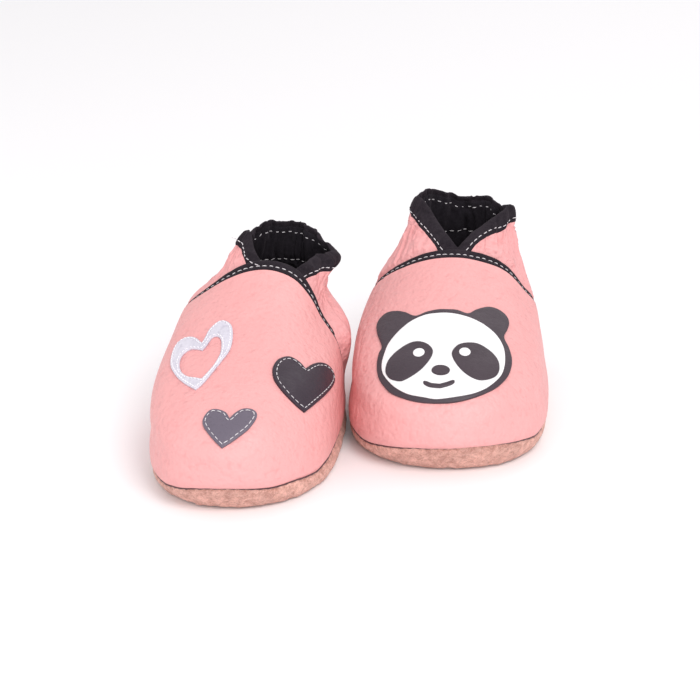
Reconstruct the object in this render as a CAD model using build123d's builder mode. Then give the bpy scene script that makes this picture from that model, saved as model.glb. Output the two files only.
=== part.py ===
from build123d import *
import math
import os

import numpy as np

# A pair of soft-soled leather baby booties, millimetres.
# Each bootie is drawn in its own frame: toe towards -Y, heel towards +Y, Z up, sole bottom on Z = 0.
# The pair stands side by side, root bootie (animal face) on +X, second bootie (hearts) on -X.

# ---------------------------------------------------------------- driving dimensions
RISE = 1.165          # height factor of the upper above the turned-up sole
TOE_SQUARE = 2.386    # exponent of the toe outline, 2 is an ellipse, more is squarer
SEAM_Z = 7.5          # height of the seam between the suede sole and the leather upper
SOLE_T = 1.8          # suede outsole thickness
FOAM_T = 2.8          # foam pad thickness
INSOLE_T = 1.1        # suede insole thickness
LEATHER_T = 1.2       # vamp leather
LINING_T = 0.5        # vamp lining
QUARTER_AT = 2.1      # depth of the quarter's outer face below the vamp's
QUARTER_T = 1.0
ELASTIC_AT, ELASTIC_T = 3.3, 0.5
QUARTER_LINING_AT, QUARTER_LINING_T = 4.0, 0.6
BAND_W = 4.5          # width of the black bands
TOP_Z = 67.5          # collar height
PINK_TOP_Z = 63.6     # top of the quarter leather at the collar
ELASTIC_Z = (54.0, 62.4)
TUCK = 12.0           # how far the quarter's wings run under the vamp
STITCH = (2.1, 0.45, 0.36)
STITCH_PITCH = 3.2

# Height, toe end, heel end, half width, widest station, toe exponent, heel exponent.
STATIONS = [
    (-4.0, -52.7, 53.3, 26.2, -18, 2.25, 2.5),
    (0.0, -56.0, 56.0, 29.0, -18, 2.25, 2.5),
    (6.0, -61.0, 60.0, 33.3, -18, 2.25, 2.5),
    (12.0, -64.5, 62.0, 36.2, -18, 2.25, 2.5),
    (20.0, -63.5, 62.5, 36.8, -14, 2.25, 2.5),
    (26.0, -57.5, 62.0, 35.8, -6, 2.2, 2.5),
    (30.0, -48.5, 61.5, 34.3, 6, 2.15, 2.45),
    (34.0, -35.0, 61.0, 32.0, 19, 2.1, 2.4),
    (38.0, -20.5, 60.0, 29.5, 28, 2.05, 2.3),
    (42.0, -6.5, 59.0, 26.8, 34, 2.0, 2.2),
    (46.0, 6.5, 58.0, 24.3, 38, 2.0, 2.1),
    (50.0, 15.5, 57.2, 22.8, 40, 2.0, 2.0),
    (55.0, 23.5, 56.5, 21.8, 41, 2.0, 2.0),
    (60.0, 30.0, 56.5, 21.3, 43, 2.0, 2.0),
    (72.0, 31.0, 56.5, 21.1, 43.5, 2.0, 2.0),
]

# Face outline pieces, on the plane through FACE_AT square to FACE_N.
FACE_AT, FACE_N = (-0.55, -28.96, 37.03), (0.0, -0.3785, 0.9256)
BACKING = [(-22.6, -2.1), (-25.0, 6.7), (-25.8, 12.9), (-24.8, 16.8), (-22.4, 18.9), (-18.7, 18.4), (-15.2, 16.4), (-11.4, 13.5), (-7.5, 15.3), (-3.3, 16.5), (-0.0, 16.6), (3.6, 16.5), (7.6, 15.2), (10.3, 18.0), (13.1, 20.4), (15.2, 21.6), (18.0, 21.7), (21.0, 20.1), (22.6, 16.9), (22.5, 12.4), (21.4, 6.2), (23.4, 0.4), (24.7, -5.4), (24.6, -10.9), (23.4, -16.1), (20.5, -21.6), (16.6, -25.8), (11.6, -29.3), (5.6, -31.6), (-1.3, -32.3), (-7.6, -31.7), (-12.9, -29.7), (-17.3, -26.8), (-20.5, -22.4), (-22.5, -17.7), (-23.4, -12.0), (-23.3, -6.2)]
FACE = [(-21.3, -13.3), (-21.0, -8.2), (-19.8, -1.5), (-17.0, 4.4), (-13.1, 9.4), (-8.0, 12.7), (-3.0, 13.7), (0.9, 13.8), (4.8, 13.2), (9.5, 11.8), (14.2, 9.3), (18.4, 5.3), (21.1, -0.2), (22.1, -6.2), (22.0, -12.3), (20.8, -17.3), (17.6, -22.7), (13.8, -26.4), (8.8, -28.9), (0.3, -30.9), (-4.8, -30.4), (-10.8, -28.8), (-15.5, -25.4), (-18.7, -21.3), (-20.6, -17.5)]
EYE_LEFT = [(-19.5, -16.4), (-19.0, -12.5), (-17.3, -9.1), (-14.4, -5.6), (-11.4, -3.4), (-8.6, -3.1), (-5.6, -4.7), (-3.7, -7.5), (-3.5, -10.3), (-4.6, -14.1), (-6.8, -18.2), (-9.3, -21.0), (-12.2, -23.1), (-14.2, -23.4), (-17.1, -21.9), (-18.9, -19.4)]
EYE_RIGHT = [(3.4, -9.4), (4.1, -6.6), (5.9, -4.1), (9.2, -2.7), (12.4, -2.7), (15.6, -4.6), (18.2, -7.2), (19.9, -10.5), (20.3, -14.5), (19.4, -17.8), (17.1, -20.3), (14.1, -21.7), (11.4, -21.2), (8.6, -19.3), (6.0, -16.1), (4.2, -12.6)]
NOSE = [(3.3, -18.5), (3.1, -19.4), (2.5, -20.3), (1.4, -20.9), (0.2, -21.1), (-1.0, -21.0), (-2.1, -20.5), (-2.9, -19.8), (-3.2, -18.8), (-3.0, -17.9), (-2.4, -17.0), (-1.4, -16.4), (-0.1, -16.2), (1.1, -16.3), (2.2, -16.8), (3.0, -17.6)]
MOUTH = [(-5.6, -24.4), (-4.2, -25.3), (-2.7, -25.9), (0.0, -26.1), (1.4, -25.7), (2.7, -25.2), (4.1, -24.4), (5.2, -23.5)]
WHITE_OUTER = [(-3.5, 2.8), (-9.1, 3.4), (-12.9, 1.6), (-13.7, -2.0), (-10.4, -6.9), (-4.5, -11.5), (3.0, -14.4), (9.6, -15.5), (16.0, -15.5), (15.5, -11.8), (13.7, -6.6), (11.1, -0.1), (8.6, 5.7), (4.2, 10.8), (-1.4, 15.1), (-5.7, 15.8), (-7.9, 14.1), (-7.4, 9.6), (-5.0, 5.5)]
WHITE_INNER = [(-0.0, 0.1), (-2.4, -0.6), (-4.9, -2.1), (-5.1, -5.4), (-2.5, -8.8), (2.4, -11.7), (7.0, -12.4), (11.1, -11.1), (13.2, -10.6), (11.9, -6.2), (10.4, -2.4), (7.2, 2.8), (2.6, 7.0), (-0.8, 8.4), (-2.5, 6.9), (-0.6, 2.5)]
DARK = [(3.2, 1.6), (3.9, 4.5), (2.9, 7.9), (0.5, 9.6), (-3.6, 10.2), (-8.1, 9.0), (-12.1, 6.1), (-14.4, 2.6), (-15.8, -1.8), (-15.7, -6.4), (-14.3, -10.1), (-6.0, -10.1), (6.2, -9.6), (16.2, -8.1), (19.1, -5.2), (17.1, -1.9), (12.8, 0.4), (8.2, 1.4)]
GREY = [(0.4, 0.9), (-1.1, 3.8), (-4.0, 5.4), (-6.5, 5.1), (-8.4, 2.2), (-8.7, -0.9), (-7.0, -4.5), (-4.5, -7.9), (-2.1, -10.4), (1.5, -8.1), (6.3, -3.8), (9.1, 0.8), (9.5, 3.5), (7.9, 5.1), (5.0, 5.2), (2.6, 3.6)]
GLINTS = [(-8.3, -9.8, 2.1), (7.9, -8.6, 2.05)]
MOUTH_W = 1.5
WHITE_AT, WHITE_N = (-12.65, -17.53, 41.86), (-0.2505, -0.2896, 0.9238)
DARK_AT, DARK_N = (23.4, -17.9, 34.83), (0.6533, -0.1742, 0.7368)
GREY_AT, GREY_N = (4.98, -52.66, 31.1), (0.1037, -0.5004, 0.8596)

# One bootie: width factors of its -X and +X sides at the KNOTS heights, sideways lean per mm of height,
# toe exponent, vamp edge plane (y + slope * z = edge), turn and place.
KNOTS = (0.0, 8.0, 20.0, 34.0, 44.0, 56.0, 68.0)
PANDA = dict(
    width=dict(L=(1.182, 1.04, 0.959, 1.019, 1.039, 0.947, 0.911), R=(1.22, 1.09, 0.984, 0.932, 0.878, 0.926, 1.018), lean=0.021, toe=2.332),
    slope=0.38, edge=34.98, apex=56.2, turn=-6.07, at=(35.94, 17.82, 0))
HEARTS = dict(
    width=dict(L=(0.994, 0.861, 0.815, 0.948, 1.092, 0.931, 0.74), R=(1.197, 0.986, 0.888, 0.813, 0.704, 0.766, 0.831), lean=0.051, toe=2.107),
    slope=0.041, edge=25.08, apex=62.3, turn=-10.47, at=(-38.96, -14.53, 0))


# ---------------------------------------------------------------- the upper's surface
def smooth(xk, yk, x):
    """Monotone cubic through the stations."""
    xk, yk = np.asarray(xk, float), np.asarray(yk, float)
    h = np.diff(xk)
    s = np.diff(yk) / h
    m = np.zeros_like(yk)
    for i in range(1, len(yk) - 1):
        if s[i - 1] * s[i] > 0:
            w1, w2 = 2 * h[i] + h[i - 1], h[i] + 2 * h[i - 1]
            m[i] = (w1 + w2) / (w1 / s[i - 1] + w2 / s[i])
    m[0], m[-1] = s[0], s[-1]
    x = np.clip(np.asarray(x, float), xk[0], xk[-1])
    i = np.clip(np.searchsorted(xk, x) - 1, 0, len(h) - 1)
    t = (x - xk[i]) / h[i]
    return (
        yk[i] * (1 + 2 * t) * (1 - t) ** 2
        + h[i] * m[i] * t * (1 - t) ** 2
        + yk[i + 1] * t * t * (3 - 2 * t)
        + h[i] * m[i + 1] * t * t * (t - 1)
    )


ZK = [z if z <= 6 else 6 + (z - 6) * RISE for z, *_ in STATIONS]
COLS = [[row[k] for row in STATIONS] for k in range(1, 7)]
COLS[4] = [TOE_SQUARE if row[0] < 32 else row[5] for row in STATIONS]


ZFINE = np.arange(-6.0, 84.0, 0.05)
FACTORS = {}


def factor(values, z):
    """Width factor at height z: a line through the knots, rounded over a few millimetres."""
    if values not in FACTORS:
        y = np.interp(ZFINE, KNOTS, values)
        k = np.exp(-0.5 * (np.arange(-80, 81) * 0.05 / 2.0) ** 2)
        FACTORS[values] = np.convolve(np.pad(y, 80, mode="edge"), k / k.sum(), "valid")
    return np.interp(z, ZFINE, FACTORS[values])


def surface(z, th, width):
    """Point of the vamp's outer face at height z and angle th from the heel."""
    front, back, w, yc, nf, nb = [smooth(ZK, c, z) for c in COLS]
    nf = nf + (width["toe"] - TOE_SQUARE) * np.interp(z, (30.0, 40.0), (1.0, 0.0))
    c, s = np.cos(th), np.sin(th)
    fl, fr = factor(width["L"], z), factor(width["R"], z)
    side = fl + (fr - fl) * (0.5 + 0.5 * np.tanh(s * 4.0))
    n = np.where(c < 0, nf, nb)
    ln = np.where(c < 0, yc - front, back - yc)
    r = (np.abs(c) ** n + np.abs(s) ** n) ** (-1 / n)
    lean = width["lean"] * np.clip(z - SEAM_Z, 0, None)
    return np.stack([w * side * r * s + lean, yc + ln * r * c, np.broadcast_to(z, np.shape(r * c)) + 0.0], -1)


def normal(z, th, width):
    dz = surface(z + 0.4, th, width) - surface(z - 0.4, th, width)
    dt = surface(z, th + 0.01, width) - surface(z, th - 0.01, width)
    n = np.cross(dz, dt)
    n /= np.linalg.norm(n, axis=-1, keepdims=True)
    return n


TH = np.linspace(0, 2 * math.pi, 26, endpoint=False)
ZGRID = np.linspace(-3.5, 78, 164)
ZZ, TT = np.meshgrid(ZGRID, TH, indexing="ij")


def offset_columns(d, width):
    p, n = surface(ZZ, TT, width), normal(ZZ, TT, width)
    sgn = np.sign((n[..., 0] * p[..., 0]).sum())
    return p - n * sgn * d


def levels(lo, hi):
    inner = [z for z in (3.5, 7.5, 13, 20, 26, 31, 36, 42, 48, 54, 60, 66) if lo + 1.6 < z < hi - 1.6]
    return [lo] + inner + [hi]


def loops(d, lo, hi, width):
    """Level closed curves of the surface moved inwards by d."""
    q = offset_columns(d, width)
    out = []
    for z in levels(lo, hi):
        pts = []
        for j in range(len(TH)):
            col = q[:, j]
            k = np.maximum.accumulate(col[:, 2])
            keep = np.concatenate([[True], np.diff(k) > 1e-4])
            pts.append((float(np.interp(z, k[keep], col[keep, 0])), float(np.interp(z, k[keep], col[keep, 1]))))
        out.append((z, pts))
    return out


def skin(d, lo, hi, width):
    """Closed solid inside the surface moved inwards by d, between two heights."""
    with BuildPart() as body:
        for z, pts in loops(d, lo, hi, width):
            with BuildSketch(Plane.XY.offset(z)):
                with BuildLine():
                    Spline(*pts, periodic=True)
                make_face()
        loft()
    return body.part


def slab(shoe, y0, y1):
    """Slanting slab across the bootie, between two shifts from the vamp's edge plane."""
    s, e = shoe["slope"], shoe["edge"]
    lo, hi = -5.0, 85.0
    with BuildPart() as p:
        with BuildSketch(Plane.YZ.offset(-60)):
            with BuildLine():
                Polyline((e + y0 - s * lo, lo), (e + y1 - s * lo, lo), (e + y1 - s * hi, hi), (e + y0 - s * hi, hi), close=True)
            make_face()
        extrude(amount=120)
    return p.part


def notch(shoe, points, y0=-30.0, y1=43.0):
    """Prism along Y with a profile in X and Z, fitted to the bootie's throat."""
    w = shoe["width"]
    fl, fr = [float(factor(w[k], 62.0)) for k in "LR"]
    points = [(x * (fl if x < 0 else fr) + w["lean"] * (62.0 - SEAM_Z), z) for x, z in points]
    with BuildPart() as p:
        with BuildSketch(Plane.XZ.offset(-y1)):
            with BuildLine():
                Polyline(*points, close=True)
            make_face()
        extrude(amount=y1 - y0)
    return p.part


V_OPEN = [(0, 59.3), (16.5, 68.6), (16.5, 80), (-16.5, 80), (-16.5, 68.6)]
V_BAND = [(-3.4, 53.0), (3.4, 53.0), (3.6, 58.2), (12.5, 64.5), (19.5, 66.5), (40, 66.5), (40, 80), (-40, 80), (-40, 66.5), (-19.5, 66.5), (-12.5, 64.5), (-3.6, 58.2)]
V_PINK = [(-3.5, 52.8), (3.5, 52.8), (3.8, 58.1), (12.6, 64.3), (19.6, 66.3), (41, 66.3), (41, 81), (-41, 81), (-41, 66.3), (-19.6, 66.3), (-12.6, 64.3), (-3.8, 58.1)]


def outline(points, corners=()):
    """Closed spline through points; corners are the indices where it is sharp."""
    if not corners:
        Spline(*points, periodic=True)
        return
    cut = sorted(corners)
    for a, b in zip(cut, cut[1:] + [cut[0] + len(points)]):
        run = [points[i % len(points)] for i in range(a, b + 1)]
        Spline(*run)


def patch(at, n, points, outer, inner, corners=()):
    """A flat-cut appliqué laid on the surface: a prism cut to the layer between two skins."""
    nn = Vector(*n).normalized()
    x = Vector(0, 0, 1).cross(nn).normalized()
    with BuildPart() as p:
        with BuildSketch(Plane(origin=at, x_dir=(x.X, x.Y, x.Z), z_dir=(nn.X, nn.Y, nn.Z))):
            with BuildLine():
                outline(points, corners)
            make_face()
        extrude(amount=14, both=True)
        add(outer, mode=Mode.INTERSECT)
        add(inner, mode=Mode.SUBTRACT)
    return p.part


def rows(points_normals, side=1.0):
    """Locations of stitches along a run of (point, normal): X along the run, Z out of the face."""
    pts = [p for p, _ in points_normals]
    nrm = [n for _, n in points_normals]
    s = [0.0]
    for a, b in zip(pts, pts[1:]):
        s.append(s[-1] + float(np.linalg.norm(b - a)))
    out = []
    k = int(s[-1] // STITCH_PITCH)
    for i in range(k):
        t = (i + 0.5) * s[-1] / k
        j = min(max(int(np.searchsorted(s, t)) - 1, 0), len(pts) - 2)
        f = (t - s[j]) / (s[j + 1] - s[j])
        p = pts[j] * (1 - f) + pts[j + 1] * f
        n = nrm[j] * (1 - f) + nrm[j + 1] * f
        n = n / np.linalg.norm(n)
        tan = pts[j + 1] - pts[j]
        tan = tan - n * float(tan @ n)
        tan /= np.linalg.norm(tan)
        out.append(Plane(origin=tuple(map(float, p)), x_dir=tuple(map(float, tan)), z_dir=tuple(map(float, n * side))))
    return out


def stitches(planes):
    with BuildPart() as p:
        with Locations(*[Location(pl) for pl in planes]):
            Box(*STITCH)
    return p.part


def on_surface(z, th, d, width):
    n = normal(z, th, width)
    p = surface(z, th, width)
    if n[0] * p[0] + n[1] * (p[1] - 20) < 0:
        n = -n
    return p - n * d, n


def edge_run(shoe, shift, d):
    """Points where the surface meets the vamp's edge plane, moved back by shift."""
    ths = np.linspace(0.02, math.pi - 0.02, 900)

    def th_at(z, sgn):
        p = surface(np.full_like(ths, z), sgn * ths, shoe["width"])
        e = np.abs(p[:, 1] + shoe["slope"] * z - shoe["edge"] - shift)
        k = int(np.argmin(e))
        return float(e[k]), float(ths[k])
    left, right = [], []
    for z in np.arange(11.0, 69.0, 1.0):
        e, th = th_at(z, 1)
        if e <= 0.6:
            right.append(on_surface(z, th, d, shoe["width"]))
        e, th = th_at(z, -1)
        if e <= 0.6:
            left.append(on_surface(z, -th, d, shoe["width"]))
    return left + right[::-1]


def collar_run(shoe, d, drop=0.0):
    """Run up one side of the throat, round the back of the collar and down the other side."""
    w = shoe["width"]

    ths = np.linspace(1.6, math.pi - 0.01, 500)

    def side(x, z, sgn):
        p = surface(np.full_like(ths, z), sgn * ths, w)
        f = float(factor(w["R" if sgn > 0 else "L"], 62.0))
        return sgn * float(ths[int(np.argmin(np.abs(p[:, 0] - w["lean"] * (62.0 - SEAM_Z) - sgn * x * f)))])

    up = [(2.9 + t * 8.6, 58.9 + t * 6.0) for t in np.linspace(0, 1, 14)]
    right = [on_surface(z, side(x, z, 1), d, w) for x, z in up]
    left = [on_surface(z, side(x, z, -1), d, w) for x, z in up]
    x0, z0 = up[-1]
    back = [on_surface(z0 + drop, th, d, w) for th in np.linspace(side(x0, z0, 1) - 0.04, side(x0, z0, -1) + 0.04, 60)]
    return right + back + left[::-1]


def level_run(shoe, d, z, th_max):
    return [on_surface(z, th, d, shoe["width"]) for th in np.linspace(-th_max, th_max, 60)]


def finish(name, part, shoe):
    part = part.moved(Location(shoe["at"], (0, 0, shoe["turn"])))
    part.label = name
    export_step(part, f"parts/{name}.step")
    return part


made = []


# ---------------------------------------------------------------- the pieces both booties have
def common_pieces(prefix, shoe):
    w = shoe["width"]
    top = 70.0

    with BuildPart() as outsole:
        add(skin(0.0, 0.0, SEAM_Z - 0.3, w))
        add(skin(SOLE_T, SOLE_T, SEAM_Z + 1.0, w), mode=Mode.SUBTRACT)
    made.append(finish(f"{prefix}_outsole", outsole.part, shoe))

    with BuildPart() as foam:
        add(skin(2.1, SOLE_T + 0.1, SOLE_T + 0.1 + FOAM_T, w))
    made.append(finish(f"{prefix}_foam_pad", foam.part, shoe))

    with BuildPart() as insole:
        add(skin(2.1, SOLE_T + FOAM_T + 0.2, SOLE_T + FOAM_T + 0.2 + INSOLE_T, w))
    made.append(finish(f"{prefix}_insole", insole.part, shoe))

    with BuildPart() as thread:
        add(skin(-0.15, SEAM_Z - 0.25, SEAM_Z + 0.25, w))
        add(skin(1.0, SEAM_Z - 1.25, SEAM_Z + 1.25, w), mode=Mode.SUBTRACT)
    made.append(finish(f"{prefix}_sole_seam_thread", thread.part, shoe))

    lo = SEAM_Z + 0.3
    with BuildPart() as vamp:
        add(skin(0.0, lo, top, w))
        add(skin(LEATHER_T, lo - 1, top + 1, w), mode=Mode.SUBTRACT)
        add(slab(shoe, -150, 0), mode=Mode.INTERSECT)
    made.append(finish(f"{prefix}_vamp", vamp.part, shoe))

    with BuildPart() as vamp_lining:
        add(skin(LEATHER_T + 0.15, lo, top, w))
        add(skin(LEATHER_T + 0.15 + LINING_T, lo - 1, top + 1, w), mode=Mode.SUBTRACT)
        add(slab(shoe, -150, -0.5), mode=Mode.INTERSECT)
    made.append(finish(f"{prefix}_vamp_lining", vamp_lining.part, shoe))

    with BuildPart() as vamp_band:
        add(skin(-0.3, lo, top, w))
        add(skin(LEATHER_T + 0.1, lo - 1, top + 1, w), mode=Mode.SUBTRACT)
        add(slab(shoe, 0.1, BAND_W + 0.1), mode=Mode.INTERSECT)
    made.append(finish(f"{prefix}_vamp_binding", vamp_band.part, shoe))

    made.append(finish(f"{prefix}_vamp_stitching", stitches(rows(edge_run(shoe, 0.1 + BAND_W * 0.5, -0.42))), shoe))

    # quarter: one wrap from wing to wing round the heel
    pink_notch = notch(shoe, V_PINK)
    wings = slab(shoe, -TUCK, 150)
    with BuildPart() as quarter:
        add(skin(QUARTER_AT, lo, PINK_TOP_Z, w))
        add(skin(QUARTER_AT + QUARTER_T, lo - 1, PINK_TOP_Z + 1, w), mode=Mode.SUBTRACT)
        add(wings, mode=Mode.INTERSECT)
        add(pink_notch, mode=Mode.SUBTRACT)
    made.append(finish(f"{prefix}_quarter", quarter.part, shoe))

    with BuildPart() as lining:
        add(skin(QUARTER_LINING_AT, lo, PINK_TOP_Z, w))
        add(skin(QUARTER_LINING_AT + QUARTER_LINING_T, lo - 1, PINK_TOP_Z + 1, w), mode=Mode.SUBTRACT)
        add(wings, mode=Mode.INTERSECT)
        add(pink_notch, mode=Mode.SUBTRACT)
    made.append(finish(f"{prefix}_quarter_lining", lining.part, shoe))

    with BuildPart() as elastic:
        add(skin(ELASTIC_AT, ELASTIC_Z[0], ELASTIC_Z[1], w))
        add(skin(ELASTIC_AT + ELASTIC_T, ELASTIC_Z[0] - 1, ELASTIC_Z[1] + 1, w), mode=Mode.SUBTRACT)
        with Locations((0, 36.0 - 60, 58)):
            Box(120, 120, 60, mode=Mode.SUBTRACT)
    made.append(finish(f"{prefix}_elastic_band", elastic.part, shoe))

    band_tool = notch(shoe, V_BAND)
    with BuildPart() as collar:
        add(skin(QUARTER_AT - 0.5, 52.0, TOP_Z, w))
        add(skin(QUARTER_LINING_AT + QUARTER_LINING_T + 0.3, 51.0, TOP_Z + 1, w), mode=Mode.SUBTRACT)
        add(slab(shoe, -0.3, 150), mode=Mode.INTERSECT)
        with BuildPart(mode=Mode.PRIVATE) as keep_zone:
            add(band_tool)
            with Locations((0, 40, PINK_TOP_Z + 0.15 + 15)):
                Box(140, 160, 30)
        add(keep_zone.part, mode=Mode.INTERSECT)
        add(notch(shoe, V_OPEN), mode=Mode.SUBTRACT)
    made.append(finish(f"{prefix}_collar_binding", collar.part, shoe))

    made.append(finish(f"{prefix}_collar_stitching", stitches(rows(collar_run(shoe, QUARTER_AT - 0.5 - 0.12))), shoe))
    made.append(finish(f"{prefix}_channel_stitching", stitches(rows(level_run(shoe, QUARTER_LINING_AT + QUARTER_LINING_T + 0.12, 53.2, 1.5), -1.0)), shoe))


common_pieces("panda", PANDA)
common_pieces("hearts", HEARTS)

# ---------------------------------------------------------------- appliqués of the face bootie
wf = PANDA["width"]
s0 = skin(-0.15, 12, 60, wf)
s1 = skin(-0.85, 12, 60, wf)
s3 = skin(-1.95, 12, 60, wf)
s4 = skin(-2.35, 12, 60, wf)
made.append(finish("panda_face_backing", patch(FACE_AT, FACE_N, BACKING, s1, s0), PANDA))
made.append(finish("panda_face", patch(FACE_AT, FACE_N, FACE, skin(-1.4, 12, 60, wf), skin(-0.9, 12, 60, wf)), PANDA))
s2b = skin(-1.45, 12, 60, wf)
made.append(finish("panda_eye_patch_left", patch(FACE_AT, FACE_N, EYE_LEFT, s3, s2b), PANDA))
made.append(finish("panda_eye_patch_right", patch(FACE_AT, FACE_N, EYE_RIGHT, s3, s2b), PANDA))
made.append(finish("panda_nose", patch(FACE_AT, FACE_N, NOSE, s3, s2b), PANDA))
half = MOUTH_W / 2
mouth = [(x, y + half) for x, y in MOUTH] + [(x, y - half) for x, y in reversed(MOUTH)]
made.append(finish("panda_mouth", patch(FACE_AT, FACE_N, mouth, s3, s2b), PANDA))
ring = lambda cx, cy, r: [(cx + 0.93 * r * math.cos(a), cy + 1.1 * r * math.sin(a)) for a in np.linspace(0, 2 * math.pi, 10, endpoint=False)]
s5 = skin(-2.0, 12, 60, wf)
with BuildPart() as glints:
    for g in GLINTS:
        add(patch(FACE_AT, FACE_N, ring(*g), s4, s5))
made.append(finish("panda_eye_glints", glints.part, PANDA))

# ---------------------------------------------------------------- appliqués of the hearts bootie
wh = HEARTS["width"]
h0, h1 = skin(-0.12, 12, 66, wh), skin(-0.9, 12, 66, wh)
with BuildPart() as open_heart:
    add(patch(WHITE_AT, WHITE_N, WHITE_OUTER, h1, h0, corners=(0, 8)))
    add(patch(WHITE_AT, WHITE_N, WHITE_INNER, skin(-3, 12, 66, wh), skin(2, 12, 66, wh), corners=(0, 8)), mode=Mode.SUBTRACT)
made.append(finish("hearts_open_white_heart", open_heart.part, HEARTS))
made.append(finish("hearts_dark_heart", patch(DARK_AT, DARK_N, DARK, h1, h0, corners=(0, 10)), HEARTS))
made.append(finish("hearts_grey_heart", patch(GREY_AT, GREY_N, GREY, h1, h0, corners=(0, 8)), HEARTS))


def heart_stitches(at, n, points, inset):
    """Stitch places inside a heart's outline, on the appliqué's face."""
    nn = np.array(n) / np.linalg.norm(n)
    x = np.cross([0, 0, 1.0], nn)
    x /= np.linalg.norm(x)
    y = np.cross(nn, x)
    c = np.array(points).mean(0)
    ring_pts = []
    for px, py in points + points[:1]:
        v = np.array([px, py]) - c
        ring_pts.append(c + v * (1 - inset / np.linalg.norm(v)))
    run = []
    for a, b in zip(ring_pts, ring_pts[1:]):
        for t in np.linspace(0, 1, 6)[:-1]:
            q = a * (1 - t) + b * t
            g = np.array(at) + x * q[0] + y * q[1]
            run.append(g)
    run.append(run[0])
    zz = np.linspace(14, 64, 160)
    tt = np.linspace(math.pi * 0.5, math.pi * 1.5, 240)
    z2, t2 = np.meshgrid(zz, tt, indexing="ij")
    p = surface(z2, t2, wh).reshape(-1, 3)
    m = normal(z2, t2, wh).reshape(-1, 3)
    m *= np.sign((m[:, 2]).sum())
    out = []
    for g in run:
        d = p - g
        off = d - np.outer(d @ nn, nn)
        k = int(np.argmin((off**2).sum(1)))
        out.append((p[k] + m[k] * 0.98, m[k]))
    return out


made.append(finish("hearts_dark_heart_stitching", stitches(rows(heart_stitches(DARK_AT, DARK_N, DARK, 2.2))), HEARTS))
made.append(finish("hearts_grey_heart_stitching", stitches(rows(heart_stitches(GREY_AT, GREY_N, GREY, 1.8))), HEARTS))

pair = Compound(children=made)
bb = pair.bounding_box()
print("pair box", bb.min, bb.max, "nodes", len(made))
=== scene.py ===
import math

import bpy
import numpy as np
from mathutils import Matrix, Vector
from mathutils.bvhtree import BVHTree


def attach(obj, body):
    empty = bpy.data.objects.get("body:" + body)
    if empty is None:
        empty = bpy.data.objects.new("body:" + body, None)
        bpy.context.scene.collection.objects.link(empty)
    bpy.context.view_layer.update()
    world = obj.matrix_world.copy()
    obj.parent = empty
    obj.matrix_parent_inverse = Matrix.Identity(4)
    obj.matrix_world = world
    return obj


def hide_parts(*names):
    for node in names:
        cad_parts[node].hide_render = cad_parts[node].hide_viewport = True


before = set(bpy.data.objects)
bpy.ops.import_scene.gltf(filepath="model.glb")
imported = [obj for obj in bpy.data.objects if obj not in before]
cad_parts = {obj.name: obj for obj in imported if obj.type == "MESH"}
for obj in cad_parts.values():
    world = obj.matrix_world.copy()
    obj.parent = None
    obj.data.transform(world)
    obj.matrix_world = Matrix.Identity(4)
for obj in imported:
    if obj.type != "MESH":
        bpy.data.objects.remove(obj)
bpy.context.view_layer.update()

# ------------------------------------------------------------------ the upper's surface, millimetres, bootie frame
RISE, TOE_SQUARE, SEAM_Z = 1.165, 2.386, 9.0
STATIONS = [
    (-4.0, -52.7, 53.3, 26.2, -18, 2.25, 2.5),
    (0.0, -56.0, 56.0, 29.0, -18, 2.25, 2.5),
    (6.0, -61.0, 60.0, 33.3, -18, 2.25, 2.5),
    (12.0, -64.5, 62.0, 36.2, -18, 2.25, 2.5),
    (20.0, -63.5, 62.5, 36.8, -14, 2.25, 2.5),
    (26.0, -57.5, 62.0, 35.8, -6, 2.2, 2.5),
    (30.0, -48.5, 61.5, 34.3, 6, 2.15, 2.45),
    (34.0, -35.0, 61.0, 32.0, 19, 2.1, 2.4),
    (38.0, -20.5, 60.0, 29.5, 28, 2.05, 2.3),
    (42.0, -6.5, 59.0, 26.8, 34, 2.0, 2.2),
    (46.0, 6.5, 58.0, 24.3, 38, 2.0, 2.1),
    (50.0, 15.5, 57.2, 22.8, 40, 2.0, 2.0),
    (55.0, 23.5, 56.5, 21.8, 41, 2.0, 2.0),
    (60.0, 30.0, 56.5, 21.3, 43, 2.0, 2.0),
    (76.0, 31.0, 56.5, 21.1, 43.5, 2.0, 2.0),
]
# per bootie: width factors of the -X and +X sides by height, sideways lean, toe exponent
KNOTS = (0.0, 8.0, 20.0, 34.0, 44.0, 56.0, 68.0)
SHAPES = {
    "panda": dict(L=(1.182, 1.04, 0.959, 1.019, 1.039, 0.947, 0.911), R=(1.22, 1.09, 0.984, 0.932, 0.878, 0.926, 1.018), lean=0.021, toe=2.332),
    "hearts": dict(L=(0.994, 0.861, 0.815, 0.948, 1.092, 0.931, 0.74), R=(1.197, 0.986, 0.888, 0.813, 0.704, 0.766, 0.831), lean=0.051, toe=2.107),
}
SHOES = {
    "panda": dict(body="face_bootie", width=SHAPES["panda"], slope=0.38, edge=34.98, turn=-6.07, at=(35.94, 17.82)),
    "hearts": dict(body="hearts_bootie", width=SHAPES["hearts"], slope=0.041, edge=22.8, turn=-10.47, at=(-38.96, -14.53)),
}


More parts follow.
